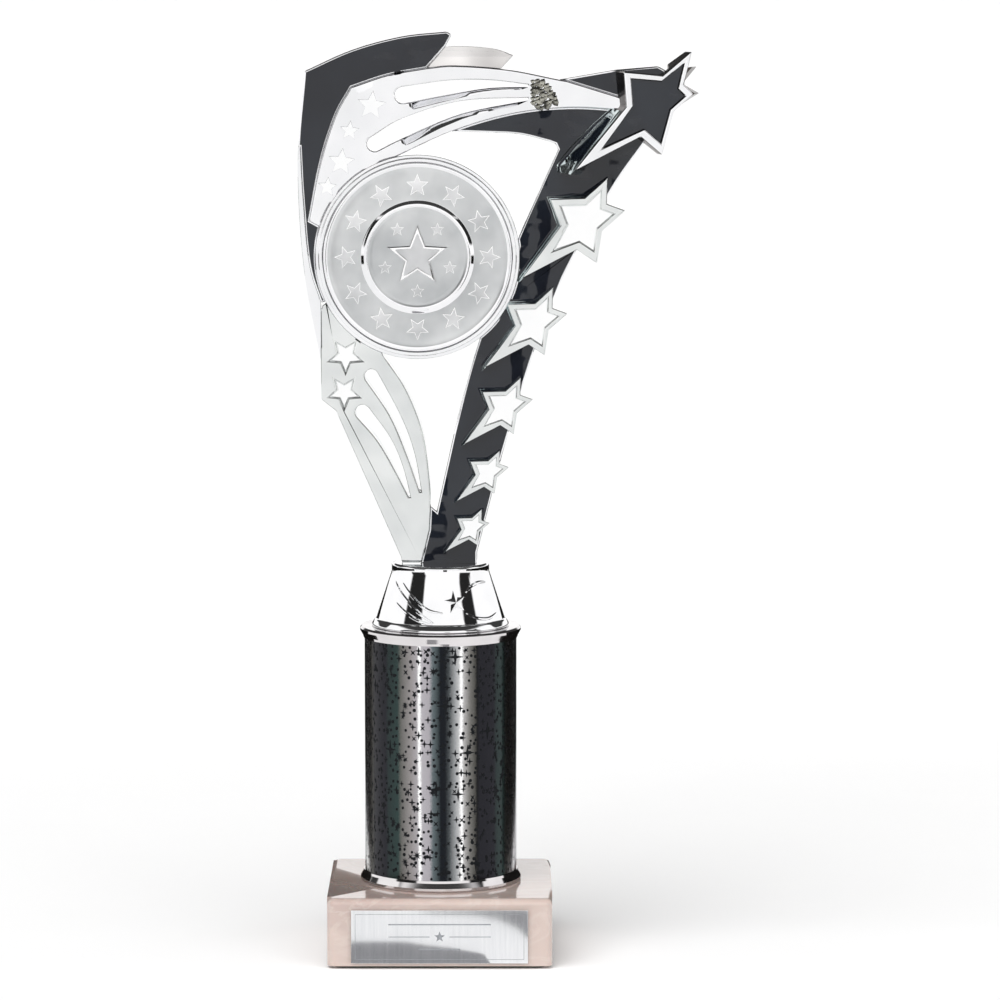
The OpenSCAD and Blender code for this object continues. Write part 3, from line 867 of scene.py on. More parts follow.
@dataclass
class StarSkirts:
    """Star fillets on the black bar: lacquer below, plating above, its teal tint a painted glint.
    """

    tips: tuple[Point, ...] = ((64, 13), (15.5, 10.8), (-75, 11.4), (-138.5, 22.6), (148, 11.2))
    notches: tuple[Point, ...] = ((40.5, 7.2), (-30, 4.9), (-108.5, 7.8), (-171, 6.9), (92.5, 6.2))
    bar_y: float = 3.9
    widths: tuple[float, ...] = (1.6, 1.35, 1.1, 0.95, 0.8)
    tail: tuple[Vector, Vector] = (Vector((35.55, -14.7, 209.4)), Vector((49.15, -10.3, 226.0)))
    back: Vector = Vector((-0.309, 0.951, 0.0))
    fan: tuple[Point, ...] = ((0.08, -0.1), (0.1, 0.1), (0.5, 0.3), (0.74, 0.75), (0.9, 1.3),
                              (0.98, 1.9), (1.0, 2.5), (1.03, -0.2))
    section: tuple[Point, ...] = ((-0.15, 1.7), (0.05, 1.5), (0.2, 0.9), (0.42, 0.42),
                                  (0.7, 0.16), (1.0, 0.0), (-0.15, -0.1))

    def build(self) -> None:
        """Make the fillets of all five stars, on both sides."""
        for side, sign in (("front", -1.0), ("rear", 1.0)):
            mesh = bmesh.new()
            for number, width in zip(range(2, 7), self.widths):
                self.skirt(mesh, f"star_{number}_{side}", width, sign)
            self.flank(mesh, sign)
            piece = close(mesh, f"star_skirts_{side}", (Finish.SKIRT, Finish.LACQUER), 60)
            claim(piece, "silver")

    def skirt(self, mesh: bmesh.types.BMesh, node: str, width: float, sign: float) -> None:
        """Add one star's fillet, from the tip of its tail round to its top tip.

        Args:
            mesh: Mesh that receives it.
            node: CAD node of the star, whose box gives its size and place.
            width: How far the fillet spreads, in millimetres.
            sign: -1 for the front, 1 for the rear.
        """
        low, high = (Vector(corner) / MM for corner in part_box(node))
        tail, right = polar(*self.tips[3]), polar(*self.tips[1])
        scale = (high.x - low.x) / (right[0] - tail[0])
        foot = low.z - tail[1] * scale
        centre = Vector((high.x - right[0] * scale, foot))
        chain = [polar(*self.tips[3]), polar(*self.notches[3]), polar(*self.tips[4]),
                 polar(*self.notches[4]), polar(*self.tips[0])]
        line = [centre + Vector(point) * scale for point in chain]
        spread = [1.0, 1.0, 1.0, 1.0, 0.15]
        loops = []
        for index, point in enumerate(line):
            before = (point - line[index - 1]).normalized() if index else None
            after = (line[index + 1] - point).normalized() if index + 1 < len(line) else None
            ways = [way for way in (before, after) if way is not None]
            lean = sum((Vector((-way.y, way.x)) for way in ways), Vector((0, 0))).normalized()
            reach = 1 / max(0.45, lean.dot(Vector((-ways[0].y, ways[0].x))))
            if index == 0:
                loops.append(self.loop(point - after * width * 0.9, lean, width * 0.35, sign, 0.4))
            loops.append(self.loop(point, lean, width * reach * spread[index], sign, 1.0))
        loft(mesh, loops, lambda row: 1 if row >= 3 else 0)

    def flank(self, mesh: bmesh.types.BMesh, sign: float) -> None:
        """Add the broad fillet on the upper side of the large star's tail.

        Args:
            mesh: Mesh that receives it.
            sign: -1 for the front, 1 for the rear.
        """
        tip, notch = self.tail
        along = (notch - tip).normalized()
        lean = Vector((-along.z, 0.0, along.x)).normalized()
        loops = []
        for share, grow in ((-0.06, 0.12), (0.02, 0.8), (0.3, 1.0), (0.65, 0.9), (0.93, 0.5)):
            top = tip.lerp(notch, share)
            deep = (-self.bar_y - top.y) / self.back.y
            spots = [top + self.back * deep * down + lean * out * grow for down, out in self.fan]
            loops.append([Vector((spot.x, -sign * spot.y, spot.z)) * MM for spot in spots])
        loft(mesh, loops, lambda row: 1 if row == 4 else 0)

    def loop(self, point: Vector, lean: Vector, width: float, sign: float,
             rise: float) -> list[Vector]:
        """One cross-section of a fillet.

        Args:
            point: Where it starts, on the star's outline, in millimetres.
            lean: Direction in which it spreads.
            width: How far it spreads.
            sign: -1 for the front, 1 for the rear.
            rise: Share of its full height.

        Returns:
            The points, in metres.
        """
        out = []
        for across, up in self.section:
            spot = point + lean * across * width
            out.append(Vector((spot.x, sign * (self.bar_y + up * rise), spot.y)) * MM)
        return out


@dataclass
class Collar:
    """Ornate collar on the comet where its slots run out: close-set rounded nuggets."""

    corner: Point = (24.7, 225.5)
    step: Point = (1.12, 1.13)
    rows: tuple[tuple[int, float], ...] = (
        (6, 1.0), (7, 0.4), (7, 0.0), (6, 0.2), (5, 0.5), (3, 1.1))
    size: float = 0.84
    height: float = 1.0

    def build(self) -> None:
        """Make the nuggets on both sides, standing on the comet's face."""
        low, _ = (Vector(corner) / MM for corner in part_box("comet_front"))
        face = -low.y - 0.4
        mesh = bmesh.new()
        for sign in (-1.0, 1.0):
            for column, (count, shift) in enumerate(self.rows):
                for row in range(count):
                    sway = math.sin(9.1 * column + 4.7 * row)
                    x = self.corner[0] + self.step[0] * column + 0.2 * sway
                    z = self.corner[1] + self.step[1] * (row + shift) + 0.2 * math.cos(7 * sway)
                    self.nugget(mesh, Vector((x, z)), face, sign, 1 + 0.25 * sway)
        claim(close(mesh, "comet_collar", (Finish.MOTTLED_DARK,), 25), "silver")

    def nugget(self, mesh: bmesh.types.BMesh, at: Vector, face: float, sign: float,
               grow: float) -> None:
        """Add one nugget, an uneven dome of six sides.

        Args:
            mesh: Mesh that receives it.
            at: Its middle across and up, in millimetres.
            face: Distance of the comet's face from the middle plane.
            sign: -1 for the front, 1 for the rear.
            grow: Its size against the usual.
        """
        loops = []
        for reach, rise in ((1.0, -0.3), (1.0, 0.15), (0.78, 0.65), (0.3, 1.0)):
            ring = [polar(60 * k + 50 * grow, self.size * grow * reach * (0.82 if k % 2 else 1.1))
                    for k in range(6)]
            loops.append([Vector((at.x + px, sign * (face + self.height * grow * 0.5 * rise),
                                  at.y + pz)) * MM for px, pz in ring])
        loft(mesh, loops)


@dataclass
class ConeCup:
    """Plated cone: the turned cup, with a shooting star in relief on its front and rear."""

    node: str = "cone_cup"
    foot_r: float = 17.2
    mouth_r: float = 13.0
    foot_h: float = 2.0
    mouth_h: float = 14.8
    star: tuple[float, float, float] = (4.1, 8.0, 3.3)
    ribs: tuple[tuple[tuple[float, float], ...], ...] = (
        ((-15.5, 12.6), (-9.5, 8.4), (-5, 5.0), (-1.4, 2.6)),
        ((-11.8, 12.4), (-7.2, 8.9), (-3.0, 6.0), (0.8, 5.2)),
        ((-12.5, 7.2), (-8, 4.6), (-4.5, 3.0), (-1.6, 2.3)),
        ((7.4, 10.4), (9.4, 11.8), (12.5, 12.6), (16, 12.4)),
        ((6.6, 5.0), (9.5, 3.6), (13, 3.2), (17, 4.2)))
    rib_w: float = 0.55
    rib_h: float = 0.42
    arc_r: float = 15.0

    def build(self) -> None:
        """Make the cup and its relief."""
        piece = Blank(self.node).edged(0.22).made("cone_cup_shell", (Finish.PLATING,))
        claim(piece, "silver", (self.node,))
        mesh = bmesh.new()
        for half in (0.0, math.pi):
            self.add_star(mesh, half)
            for rib in self.ribs:
                self.add_rib(mesh, curve(rib), half)
        claim(close(mesh, "cone_relief", (Finish.PLATING,), 25), "silver")

    def spot(self, arc: float, height: float, lift: float, half: float) -> Vector:
        """Point on the cone.

        Args:
            arc: Distance round the cone from its front, in millimetres.
            height: Height above the cone's foot.
            lift: Height above its surface.
            half: 0 for the front, pi for the rear.

        Returns:
            The point in metres.
        """
        low = Vector(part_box(self.node)[0])
        share = (height - self.foot_h) / (self.mouth_h - self.foot_h)
        radius = self.foot_r + (self.mouth_r - self.foot_r) * share + lift
        angle = arc / self.arc_r + half
        return Vector((radius * math.sin(angle) * MM, -radius * math.cos(angle) * MM,
                       low.z + height * MM))

    def add_star(self, mesh: bmesh.types.BMesh, half: float) -> None:
        """Add the star, its arms ridged up to the middle.

        Args:
            mesh: Mesh that receives it.
            half: 0 for the front, pi for the rear.
        """
        across, up, size = self.star
        top = mesh.verts.new(self.spot(across, up, 0.85, half))
        under = mesh.verts.new(self.spot(across, up, -0.6, half))
        rim = []
        for k in range(10):
            px, pz = polar(98 - 36 * k, size if k % 2 == 0 else size * 0.45)
            rim.append(mesh.verts.new(self.spot(across + px, up + pz, -0.05, half)))
        for k in range(10):
            mesh.faces.new((rim[k], rim[(k + 1) % 10], top))
            mesh.faces.new((rim[(k + 1) % 10], rim[k], under))

    def add_rib(self, mesh: bmesh.types.BMesh, line: Sequence[Point], half: float) -> None:
        """Add one of the star's trails, a ridge that fades out at both ends.

        Args:
            mesh: Mesh that receives it.
            line: Points of the ridge, round and up.
            half: 0 for the front, pi for the rear.
        """
        loops = []
        for index, (across, up) in enumerate(line):
            share = index / (len(line) - 1)
            swell = math.sin(math.pi * min(1.0, 0.06 + 0.94 * share)) ** 0.5 if share < 1 else 0.1
            one, two = line[max(0, index - 1)], line[min(len(line) - 1, index + 1)]
            way = Vector((two[0] - one[0], two[1] - one[1])).normalized()
            side = Vector((-way.y, way.x)) * self.rib_w * (0.35 + 0.65 * swell)
            loops.append([self.spot(across + side.x * s, up + side.y * s, lift, half)
                          for s, lift in ((-1, -0.15), (-0.3, self.rib_h * swell),
                                          (0.3, self.rib_h * swell), (1, -0.15), (0, -0.5))])
        loft(mesh, loops)


@dataclass
class Base:
    """Stone block with rounded polished edges, and the blank engraving plate with its rules."""

    edge_mm: float = 1.5
    sunk: float = 0.03
    rules: tuple[tuple[float, float, float, float], ...] = (
        (-13.5, 13.5, 12.1, 0.32), (-13.5, -2.6, 8.8, 0.22), (2.6, 13.5, 8.8, 0.22),
        (-5.5, 5.5, 5.5, 0.32))
    frame_gap: float = 1.1
    frame_w: float = 0.12
    star_r: float = 1.5
    star_z: float = 8.8

    def build(self) -> None:
        """Make the block and the plate."""
        block = Blank("marble_base").edged(
            self.edge_mm, 4, where=lambda e: middle(e).xy.length > 26 * MM and (
                middle(e).z > 10 * MM))
        claim(block.made("marble_block", (Finish.STONE,)), "marble", ("marble_base",))
        plate = Blank("engraving_plate").edged(0.12)
        low, high = (Vector(corner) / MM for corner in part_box("engraving_plate"))
        for vert in plate.mesh.verts:
            vert.co.y = max(vert.co.y, (low.y + self.sunk) * MM)
        claim(plate.made("plate_blank", (Finish.PLATE,)), "plate", ("engraving_plate",))
        self.engraving(low, high)

    def engraving(self, low: Vector, high: Vector) -> None:
        """Make the plate's thin border, guide rules and small star.

        Args:
            low: Lowest corner of the plate, in millimetres.
            high: Highest corner.
        """
        mesh = bmesh.new()
        gap = self.frame_gap
        left, right, foot, top = low.x + gap, high.x - gap, low.z + gap, high.z - gap
        strips = [*self.rules, (left, right, foot, self.frame_w), (left, right, top, self.frame_w)]
        for x0, x1, z, wide in strips:
            self.strip(mesh, x0, x1, z - wide / 2, z + wide / 2, low.y)
        for x in (left, right):
            self.strip(mesh, x - self.frame_w / 2, x + self.frame_w / 2, foot, top, low.y)
        star = [polar(90 - 36 * k, self.star_r * (1 if k % 2 == 0 else 0.42)) for k in range(10)]
        loft(mesh, [[Vector((x, y, self.star_z + z)) * MM for x, z in star]
                    for y in (low.y + self.sunk + 0.02, low.y + 0.01)])
        claim(close(mesh, "plate_rules", (Finish.RULES,), 20), "plate")

    def strip(self, mesh: bmesh.types.BMesh, x0: float, x1: float, z0: float, z1: float,
              face: float) -> None:
        """Add one thin bar of the engraving.

        Args:
            mesh: Mesh that receives it.
            x0: Left end, in millimetres.
            x1: Right end.
            z0: Lower edge.
            z1: Upper edge.
            face: Y of the plate's front.
        """
        corners = ((x0, z0), (x1, z0), (x1, z1), (x0, z1))
        loft(mesh, [[Vector((x, y, z)) * MM for x, z in corners]
                    for y in (face + self.sunk + 0.02, face + 0.01)])


# ---------------------------------------------------------------- repeated things


class Repeat:
    """A Geometry Nodes tree with named sizes, run once and turned into plain mesh."""

    def __init__(self, name: str, sizes: dict[str, float]) -> None:
        """Start the tree with its inputs and output.

        Args:
            name: Name of the tree.
            sizes: Name and value of each size.
        """
        self.sizes = sizes
        self.tree = bpy.data.node_groups.new(name, "GeometryNodeTree")
        face = self.tree.interface
        face.new_socket("Geometry", in_out="OUTPUT", socket_type="NodeSocketGeometry")
        self.sockets = {key: face.new_socket(key, in_out="INPUT", socket_type="NodeSocketFloat")
                        for key in sizes}
        self.inputs = self.tree.nodes.new("NodeGroupInput").outputs
        self.output = self.tree.nodes.new("NodeGroupOutput")

    def add(self, kind: str, feed: Optional[dict[object, object]] = None,
            **settings: object) -> bpy.types.NodeOutputs:
        """Add a node.

        Args:
            kind: Type name of the node.
            feed: Value or socket for each input, by name or index.
            settings: Properties of the node.

        Returns:
            The node's outputs.
        """
        node = self.tree.nodes.new(kind)
        for key, value in settings.items():
            setattr(node, key, value)
        for key, value in (feed or {}).items():
            if isinstance(value, bpy.types.NodeSocket):
                self.tree.links.new(value, node.inputs[key])
            else:
                node.inputs[key].default_value = value
        return node.outputs

    def sum(self, kind: str, *values: object) -> bpy.types.NodeSocket:
        """One step of arithmetic on numbers or sockets."""
        return self.add("ShaderNodeMath", dict(enumerate(values)), operation=kind)[0]

    def chance(self, kind: str, feed: dict[object, object]) -> bpy.types.NodeSocket:
        """Random value of one kind for each point.

        Args:
            kind: Data type of the value.
            feed: Its limits or probability, and its seed.

        Returns:
            The value socket.
        """
        outputs = self.add("FunctionNodeRandomValue", feed, data_type=kind)
        return next(socket for socket in outputs if socket.enabled)

    def star(self, radius: object, waist: object, tips: int = 5) -> bpy.types.NodeSocket:
        """Filled flat star with a tip on +Y.

        Args:
            radius: Radius of the tips.
            waist: Radius of the notches.
            tips: Number of tips.

        Returns:
            The mesh socket.
        """
        line = self.add("GeometryNodeCurveStar", {"Points": tips, "Inner Radius": waist,
                                                  "Outer Radius": radius})[0]
        return self.add("GeometryNodeFillCurve", {0: line}, mode="NGONS")[0]

    def run(self, name: str, geometry: bpy.types.NodeSocket,
            finishes: Sequence[Finish]) -> bpy.types.Object:
        """Close the tree, run it on an empty mesh and keep the result.

        Args:
            name: Name of the piece.
            geometry: Socket of the finished geometry.
            finishes: Finishes of the piece, the first for whatever has none yet.

        Returns:
            The object, with plain mesh.
        """
        solid = self.add("GeometryNodeRealizeInstances", {0: geometry})[0]
        bare = self.sum("LESS_THAN", self.add("GeometryNodeInputMaterialIndex")[0], 0.5)
        dressed = self.add("GeometryNodeSetMaterial", {
            "Geometry": solid, "Selection": bare, "Material": finishes[0].material()})[0]
        self.tree.links.new(dressed, self.output.inputs[0])
        piece = put(name, bpy.data.meshes.new(name), finishes)
        run = piece.modifiers.new(name, "NODES")
        run.node_group = self.tree
        for key, value in self.sizes.items():
            run[self.sockets[key].identifier] = value
        return settle(piece)


def lathe(profile: Sequence[Point], sides: int) -> bmesh.types.BMesh:
    """Turn a profile about Z into a closed mesh.

    Args:
        profile: Radius and height of each point in millimetres, from axis to axis.
        sides: Number of sides.

    Returns:
        The mesh, in metres.
    """
    mesh = bmesh.new()
    rows = []
    for radius, height in profile:
        if radius == 0:
            rows.append([mesh.verts.new((0, 0, height * MM))])
            continue
        rows.append([mesh.verts.new((radius * MM * math.cos(2 * math.pi * k / sides),
                                     radius * MM * math.sin(2 * math.pi * k / sides),
                                     height * MM)) for k in range(sides)])
    for low, high in zip(rows, rows[1:]):
        for k in range(sides):
            ring = [low[k % len(low)], low[(k + 1) % len(low)],
                    high[(k + 1) % len(high)], high[k % len(high)]]
            mesh.faces.new(list(dict.fromkeys(ring)))
    bmesh.ops.recalc_face_normals(mesh, faces=mesh.faces)
    return mesh


@dataclass
class CentreDisc:
    """Pressed disc: bead, dished field, raised ring and three sizes of grainy star."""

    node: str = "centre_disc"
    profile: tuple[Point, ...] = (
        (0, 0), (24.7, 0), (25, 0.25), (25, 0.72), (24.85, 0.92), (24.5, 1.0), (24.1, 0.96),
        (23.8, 0.84), (23.3, 0.62), (22.6, 0.48), (21, 0.41), (18.5, 0.37), (16.6, 0.34),
        (15.2, 0.33), (15.0, 0.35), (14.9, 0.4), (14.8, 0.48), (14.2, 0.9), (14.1, 0.96),
        (13.95, 1.0), (13.4, 1.0), (13.25, 0.97), (12.9, 0.72), (12.5, 0.62), (11.8, 0.6),
        (8, 0.57), (4, 0.56), (0, 0.56))
    field: float = 0.36
    middle: float = 0.55
    waist: float = 0.43
    ring: Point = (13.3, 15.05)
    bead: float = 23.8

    def place(self) -> tuple[Vector, float]:
        """Centre of the disc's back, and the radius of the CAD disc.

        Returns:
            The centre and the radius, in metres.
        """
        low, high = (Vector(corner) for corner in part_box(self.node))
        return Vector(((low.x + high.x) / 2, high.y, (low.z + high.z) / 2)), (high.x - low.x) / 2

    def build(self) -> None:
        """Make the disc and its stars, and fit them in the CAD disc's place."""
        centre, radius = self.place()
        body = lathe(self.profile, 192)
        self.stand(body.verts, centre)
        for face in body.faces:
            face.smooth = True
            away = (face.calc_center_median() - centre).length / MM
            face.material_index = int(self.ring[0] < away < self.ring[1] or away > self.bead)
        mesh = bpy.data.meshes.new("disc_body")
        body.to_mesh(mesh)
        body.free()
        disc = put("disc_body", mesh, (Finish.SATIN, Finish.PLATING))
        claim(disc, "disc", (self.node,))
        for name, count, ring, size, level, rise, upright in (
                ("disc_outer_stars", 12, 18.9, 3.5, self.field, 0.46, False),
                ("disc_inner_stars", 5, 9.0, 2.1, self.middle, 0.3, True),
                ("disc_main_star", 1, 0.0, 8.6, self.middle, 0.42, True)):
            stars = self.stars(name, count, ring, size, level, rise, upright)
            self.stand(stars.data.vertices, centre)
            claim(stars, "disc")
        log.info("disc: radius %.1f mm", radius / MM)

    def stand(self, verts: object, centre: Vector) -> None:
        """Turn points drawn flat, facing +Z, to face the front at the disc's place."""
        for vert in verts:
            x, y, z = vert.co
            vert.co = centre + Vector((x, -z, y))

    def stars(self, name: str, count: int, ring: float, size: float, level: float,
              rise: float, upright: bool) -> bpy.types.Object:
        """Ring of raised stars with a sunk, grainy face.

        Args:
            name: Name of the piece.
            count: Number of stars.
            ring: Radius of the ring they stand on.
            size: Radius of a star's tips.
            level: Height of the ground they stand on.
            rise: Height of a star's edge over the ground.
            upright: Whether all point up, or each away from the middle.

        Returns:
            The piece, drawn flat.
        """
        sizes = {"Ring": ring, "Star": size, "Waist": size * self.waist, "Rise": rise,
                 "Ground": level, "Count": float(count)}
        nodes = Repeat(name, {key: value * MM if key != "Count" else value
                              for key, value in sizes.items()})
        get = nodes.inputs
        blank = nodes.star(get["Star"], get["Waist"])
        slope = nodes.add("GeometryNodeExtrudeMesh", {"Mesh": blank, "Offset Scale": get["Rise"]},
                          mode="FACES")
        ridge = nodes.add("GeometryNodeScaleElements", {
            "Geometry": slope["Mesh"], "Selection": slope["Top"], "Scale": 0.9}, domain="FACE")[0]
        flat = nodes.add("GeometryNodeExtrudeMesh", {
            "Mesh": ridge, "Selection": slope["Top"],
            "Offset Scale": nodes.sum("MULTIPLY", get["Rise"], 0.08)}, mode="FACES")
        rim = nodes.add("GeometryNodeScaleElements", {
            "Geometry": flat["Mesh"], "Selection": flat["Top"], "Scale": 0.87}, domain="FACE")[0]
        sink = nodes.add("GeometryNodeExtrudeMesh", {
            "Mesh": rim, "Selection": flat["Top"],
            "Offset Scale": nodes.sum("MULTIPLY", get["Rise"], -0.5)}, mode="FACES")
        floor = nodes.add("GeometryNodeScaleElements", {
            "Geometry": sink["Mesh"], "Selection": sink["Top"], "Scale": 0.93}, domain="FACE")[0]
        grain = nodes.add("GeometryNodeSetMaterial", {
            "Geometry": floor, "Selection": sink["Top"], "Material": Finish.GRAINY.material()})[0]
        steps = nodes.sum("MULTIPLY", nodes.add("GeometryNodeInputIndex")[0],
                          nodes.sum("DIVIDE", 2 * math.pi, get["Count"]))
        turn = nodes.sum("ADD", steps, math.pi / 5 if upright and count > 1 else 0.0)
        across = nodes.sum("MULTIPLY", nodes.sum("SINE", turn), get["Ring"])
        up = nodes.sum("MULTIPLY", nodes.sum("COSINE", turn), get["Ring"])
        spots = nodes.add("GeometryNodeMeshLine", {"Count": count}, mode="OFFSET")[0]
        where = nodes.add("ShaderNodeCombineXYZ", {"X": across, "Y": up, "Z": get["Ground"]})[0]
        spots = nodes.add("GeometryNodeSetPosition", {"Geometry": spots, "Position": where})[0]
        lean = nodes.sum("MULTIPLY", turn, 0.0 if upright else -1.0)
        facing = nodes.add("ShaderNodeCombineXYZ", {"Z": nodes.sum("ADD", lean, math.pi / 2)})[0]
        copies = nodes.add("GeometryNodeInstanceOnPoints", {
            "Points": spots, "Instance": grain, "Rotation": facing})[0]
        # the ridges and slopes take the lighter copy of the plating, painted highlight; the sunk
        # faces stay grainy
        return nodes.run(name, copies, (Finish.PAINTED_HIGHLIGHT, Finish.GRAINY))


@dataclass
class FoilPrint:
    """Sparkles and dots printed on the foil: thin flat shapes laid on the drum, in five kinds.

    Each kind gives its name, tips, radius, notch radius, spacing and share of cells filled.
    """

    node: str = "foil_wrap"
    cell: float = 1.9
    lift: float = 0.05
    kinds: tuple[tuple[str, int, float, float, float, float], ...] = (
        ("foil_dots", 8, 0.44, 0.42, 0.95, 0.62), ("foil_sparks", 4, 1.05, 0.30, 1.25, 0.36),
        ("foil_crosses", 4, 0.9, 0.26, 1.45, 0.24), ("foil_bursts", 8, 1.2, 0.42, 2.2, 0.2),
        ("foil_flares", 4, 2.3, 0.5, 4.6, 0.5))
    seed: int = 7

    def build(self) -> None:
        """Lay each kind of sparkle round the whole tube."""
        low, high = (Vector(corner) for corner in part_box(self.node))
        radius = (high.y - low.y) / 2 / MM
        for kind, (name, tips, size, waist, pitch, share) in enumerate(self.kinds):
            sizes = {"Radius": radius + self.lift, "Bottom": low.z / MM, "Top": high.z / MM,
                     "Size": size, "Waist": waist, "Cell": self.cell * pitch}
            nodes = Repeat(name, {key: value * MM for key, value in sizes.items()})
            piece = nodes.run(name, self.lay(nodes, tips, share, kind, sizes), (Finish.SPARKLE,))
            claim(piece, "foil")

    def lay(self, nodes: Repeat, tips: int, share: float, kind: int,
            sizes: dict[str, float]) -> bpy.types.NodeSocket:
        """Scatter one kind on a jittered grid wrapped round the tube.

        Args:
            nodes: The tree under way.
            tips: Tips of the shape.
            share: Share of the grid's cells that hold one.
            kind: Number of the kind, which shifts its seeds.
            sizes: The tree's sizes in millimetres, for the grid's counts.

        Returns:
            The geometry socket.
        """
        get = nodes.inputs
        rounds = int(2 * math.pi * sizes["Radius"] / sizes["Cell"])
        rows = max(2, int((sizes["Top"] - sizes["Bottom"] - 2 * sizes["Size"]) / sizes["Cell"]))
        grid = nodes.add("GeometryNodeMeshGrid", {
            "Size X": 2 * math.pi * (rounds - 1) / rounds, "Size Y": 1.0,
            "Vertices X": rounds, "Vertices Y": rows})[0]
        shake = nodes.add("FunctionNodeRandomValue", {
            0: (-0.42, -0.42, 0.0), 1: (0.42, 0.42, 0.0), "Seed": self.seed + kind},
            data_type="FLOAT_VECTOR")[0]
        split = nodes.add("ShaderNodeSeparateXYZ", {0: nodes.add("GeometryNodeInputPosition")[0]})
        jitter = nodes.add("ShaderNodeSeparateXYZ", {0: shake})
        shift = nodes.sum("MULTIPLY", jitter["X"], 2 * math.pi / rounds)
        turn = nodes.sum("ADD", split["X"], shift)
        inset = nodes.sum("MULTIPLY", get["Size"], 2.5)
        height = nodes.sum("SUBTRACT", nodes.sum("SUBTRACT", get["Top"], get["Bottom"]), inset)
        level = nodes.sum("ADD", split["Y"], nodes.sum("MULTIPLY", jitter["Y"], 0.8 / rows))
        level = nodes.sum("MAXIMUM", nodes.sum("MINIMUM", level, 0.5), -0.5)
        rise = nodes.sum("ADD", nodes.sum("MULTIPLY", level, height),
                         nodes.sum("MULTIPLY", nodes.sum("ADD", get["Top"], get["Bottom"]), 0.5))
        away = nodes.sum("MULTIPLY", get["Radius"], -1.0)
        where = nodes.add("ShaderNodeCombineXYZ", {
            "X": nodes.sum("MULTIPLY", nodes.sum("SINE", turn), get["Radius"]),
            "Y": nodes.sum("MULTIPLY", nodes.sum("COSINE", turn), away), "Z": rise})[0]
        facing = nodes.add("ShaderNodeCombineXYZ", {"X": math.pi / 2, "Z": turn})[0]
        kept = nodes.chance("BOOLEAN", {"Probability": share, "Seed": self.seed * 3 + kind})
        shape = nodes.star(get["Size"], get["Waist"], tips)
        if kind == 2:
            shape = nodes.add("GeometryNodeTransform", {
                "Geometry": shape, "Rotation": (0.0, 0.0, math.pi / 4)})[0]
        spots = nodes.add("GeometryNodeMeshToPoints", {"Mesh": grid, "Selection": kept})[0]
        scale = nodes.chance("FLOAT", {2: 0.75, 3: 1.15, "Seed": self.seed * 5 + kind})
        spots = nodes.add("GeometryNodeSetPosition", {"Geometry": spots, "Position": where})[0]
        copies = nodes.add("GeometryNodeInstanceOnPoints", {
            "Points": spots, "Instance": shape, "Rotation": facing, "Scale": scale})[0]
        solid = nodes.add("GeometryNodeRealizeInstances", {0: copies})[0]
        return self.wrap(nodes, solid)

    def wrap(self, nodes: Repeat, solid: bpy.types.NodeSocket) -> bpy.types.NodeSocket:
        """Bend the flat shapes on to the drum.

        Args:
            nodes: The tree under way.
            solid: Flat shapes, each touching the drum at its middle.

        Returns:
            The geometry socket.
        """
        split = nodes.add("ShaderNodeSeparateXYZ", {0: nodes.add("GeometryNodeInputPosition")[0]})
        far = nodes.sum("SQRT", nodes.sum("ADD", nodes.sum("MULTIPLY", split["X"], split["X"]),
                                          nodes.sum("MULTIPLY", split["Y"], split["Y"])))
        ratio = nodes.sum("DIVIDE", nodes.inputs["Radius"], far)
        where = nodes.add("ShaderNodeCombineXYZ", {
            "X": nodes.sum("MULTIPLY", split["X"], ratio),
            "Y": nodes.sum("MULTIPLY", split["Y"], ratio), "Z": split["Z"]})[0]
        return nodes.add("GeometryNodeSetPosition", {"Geometry": solid, "Position": where})[0]


# ---------------------------------------------------------------- stage


@dataclass
class Flag:
    """A dark patch in the light tent, by azimuth and elevation in degrees."""

    turn: float
    rise: float
    half_turn: float
    half_rise: float
    level: float
    soft: float = 6.0


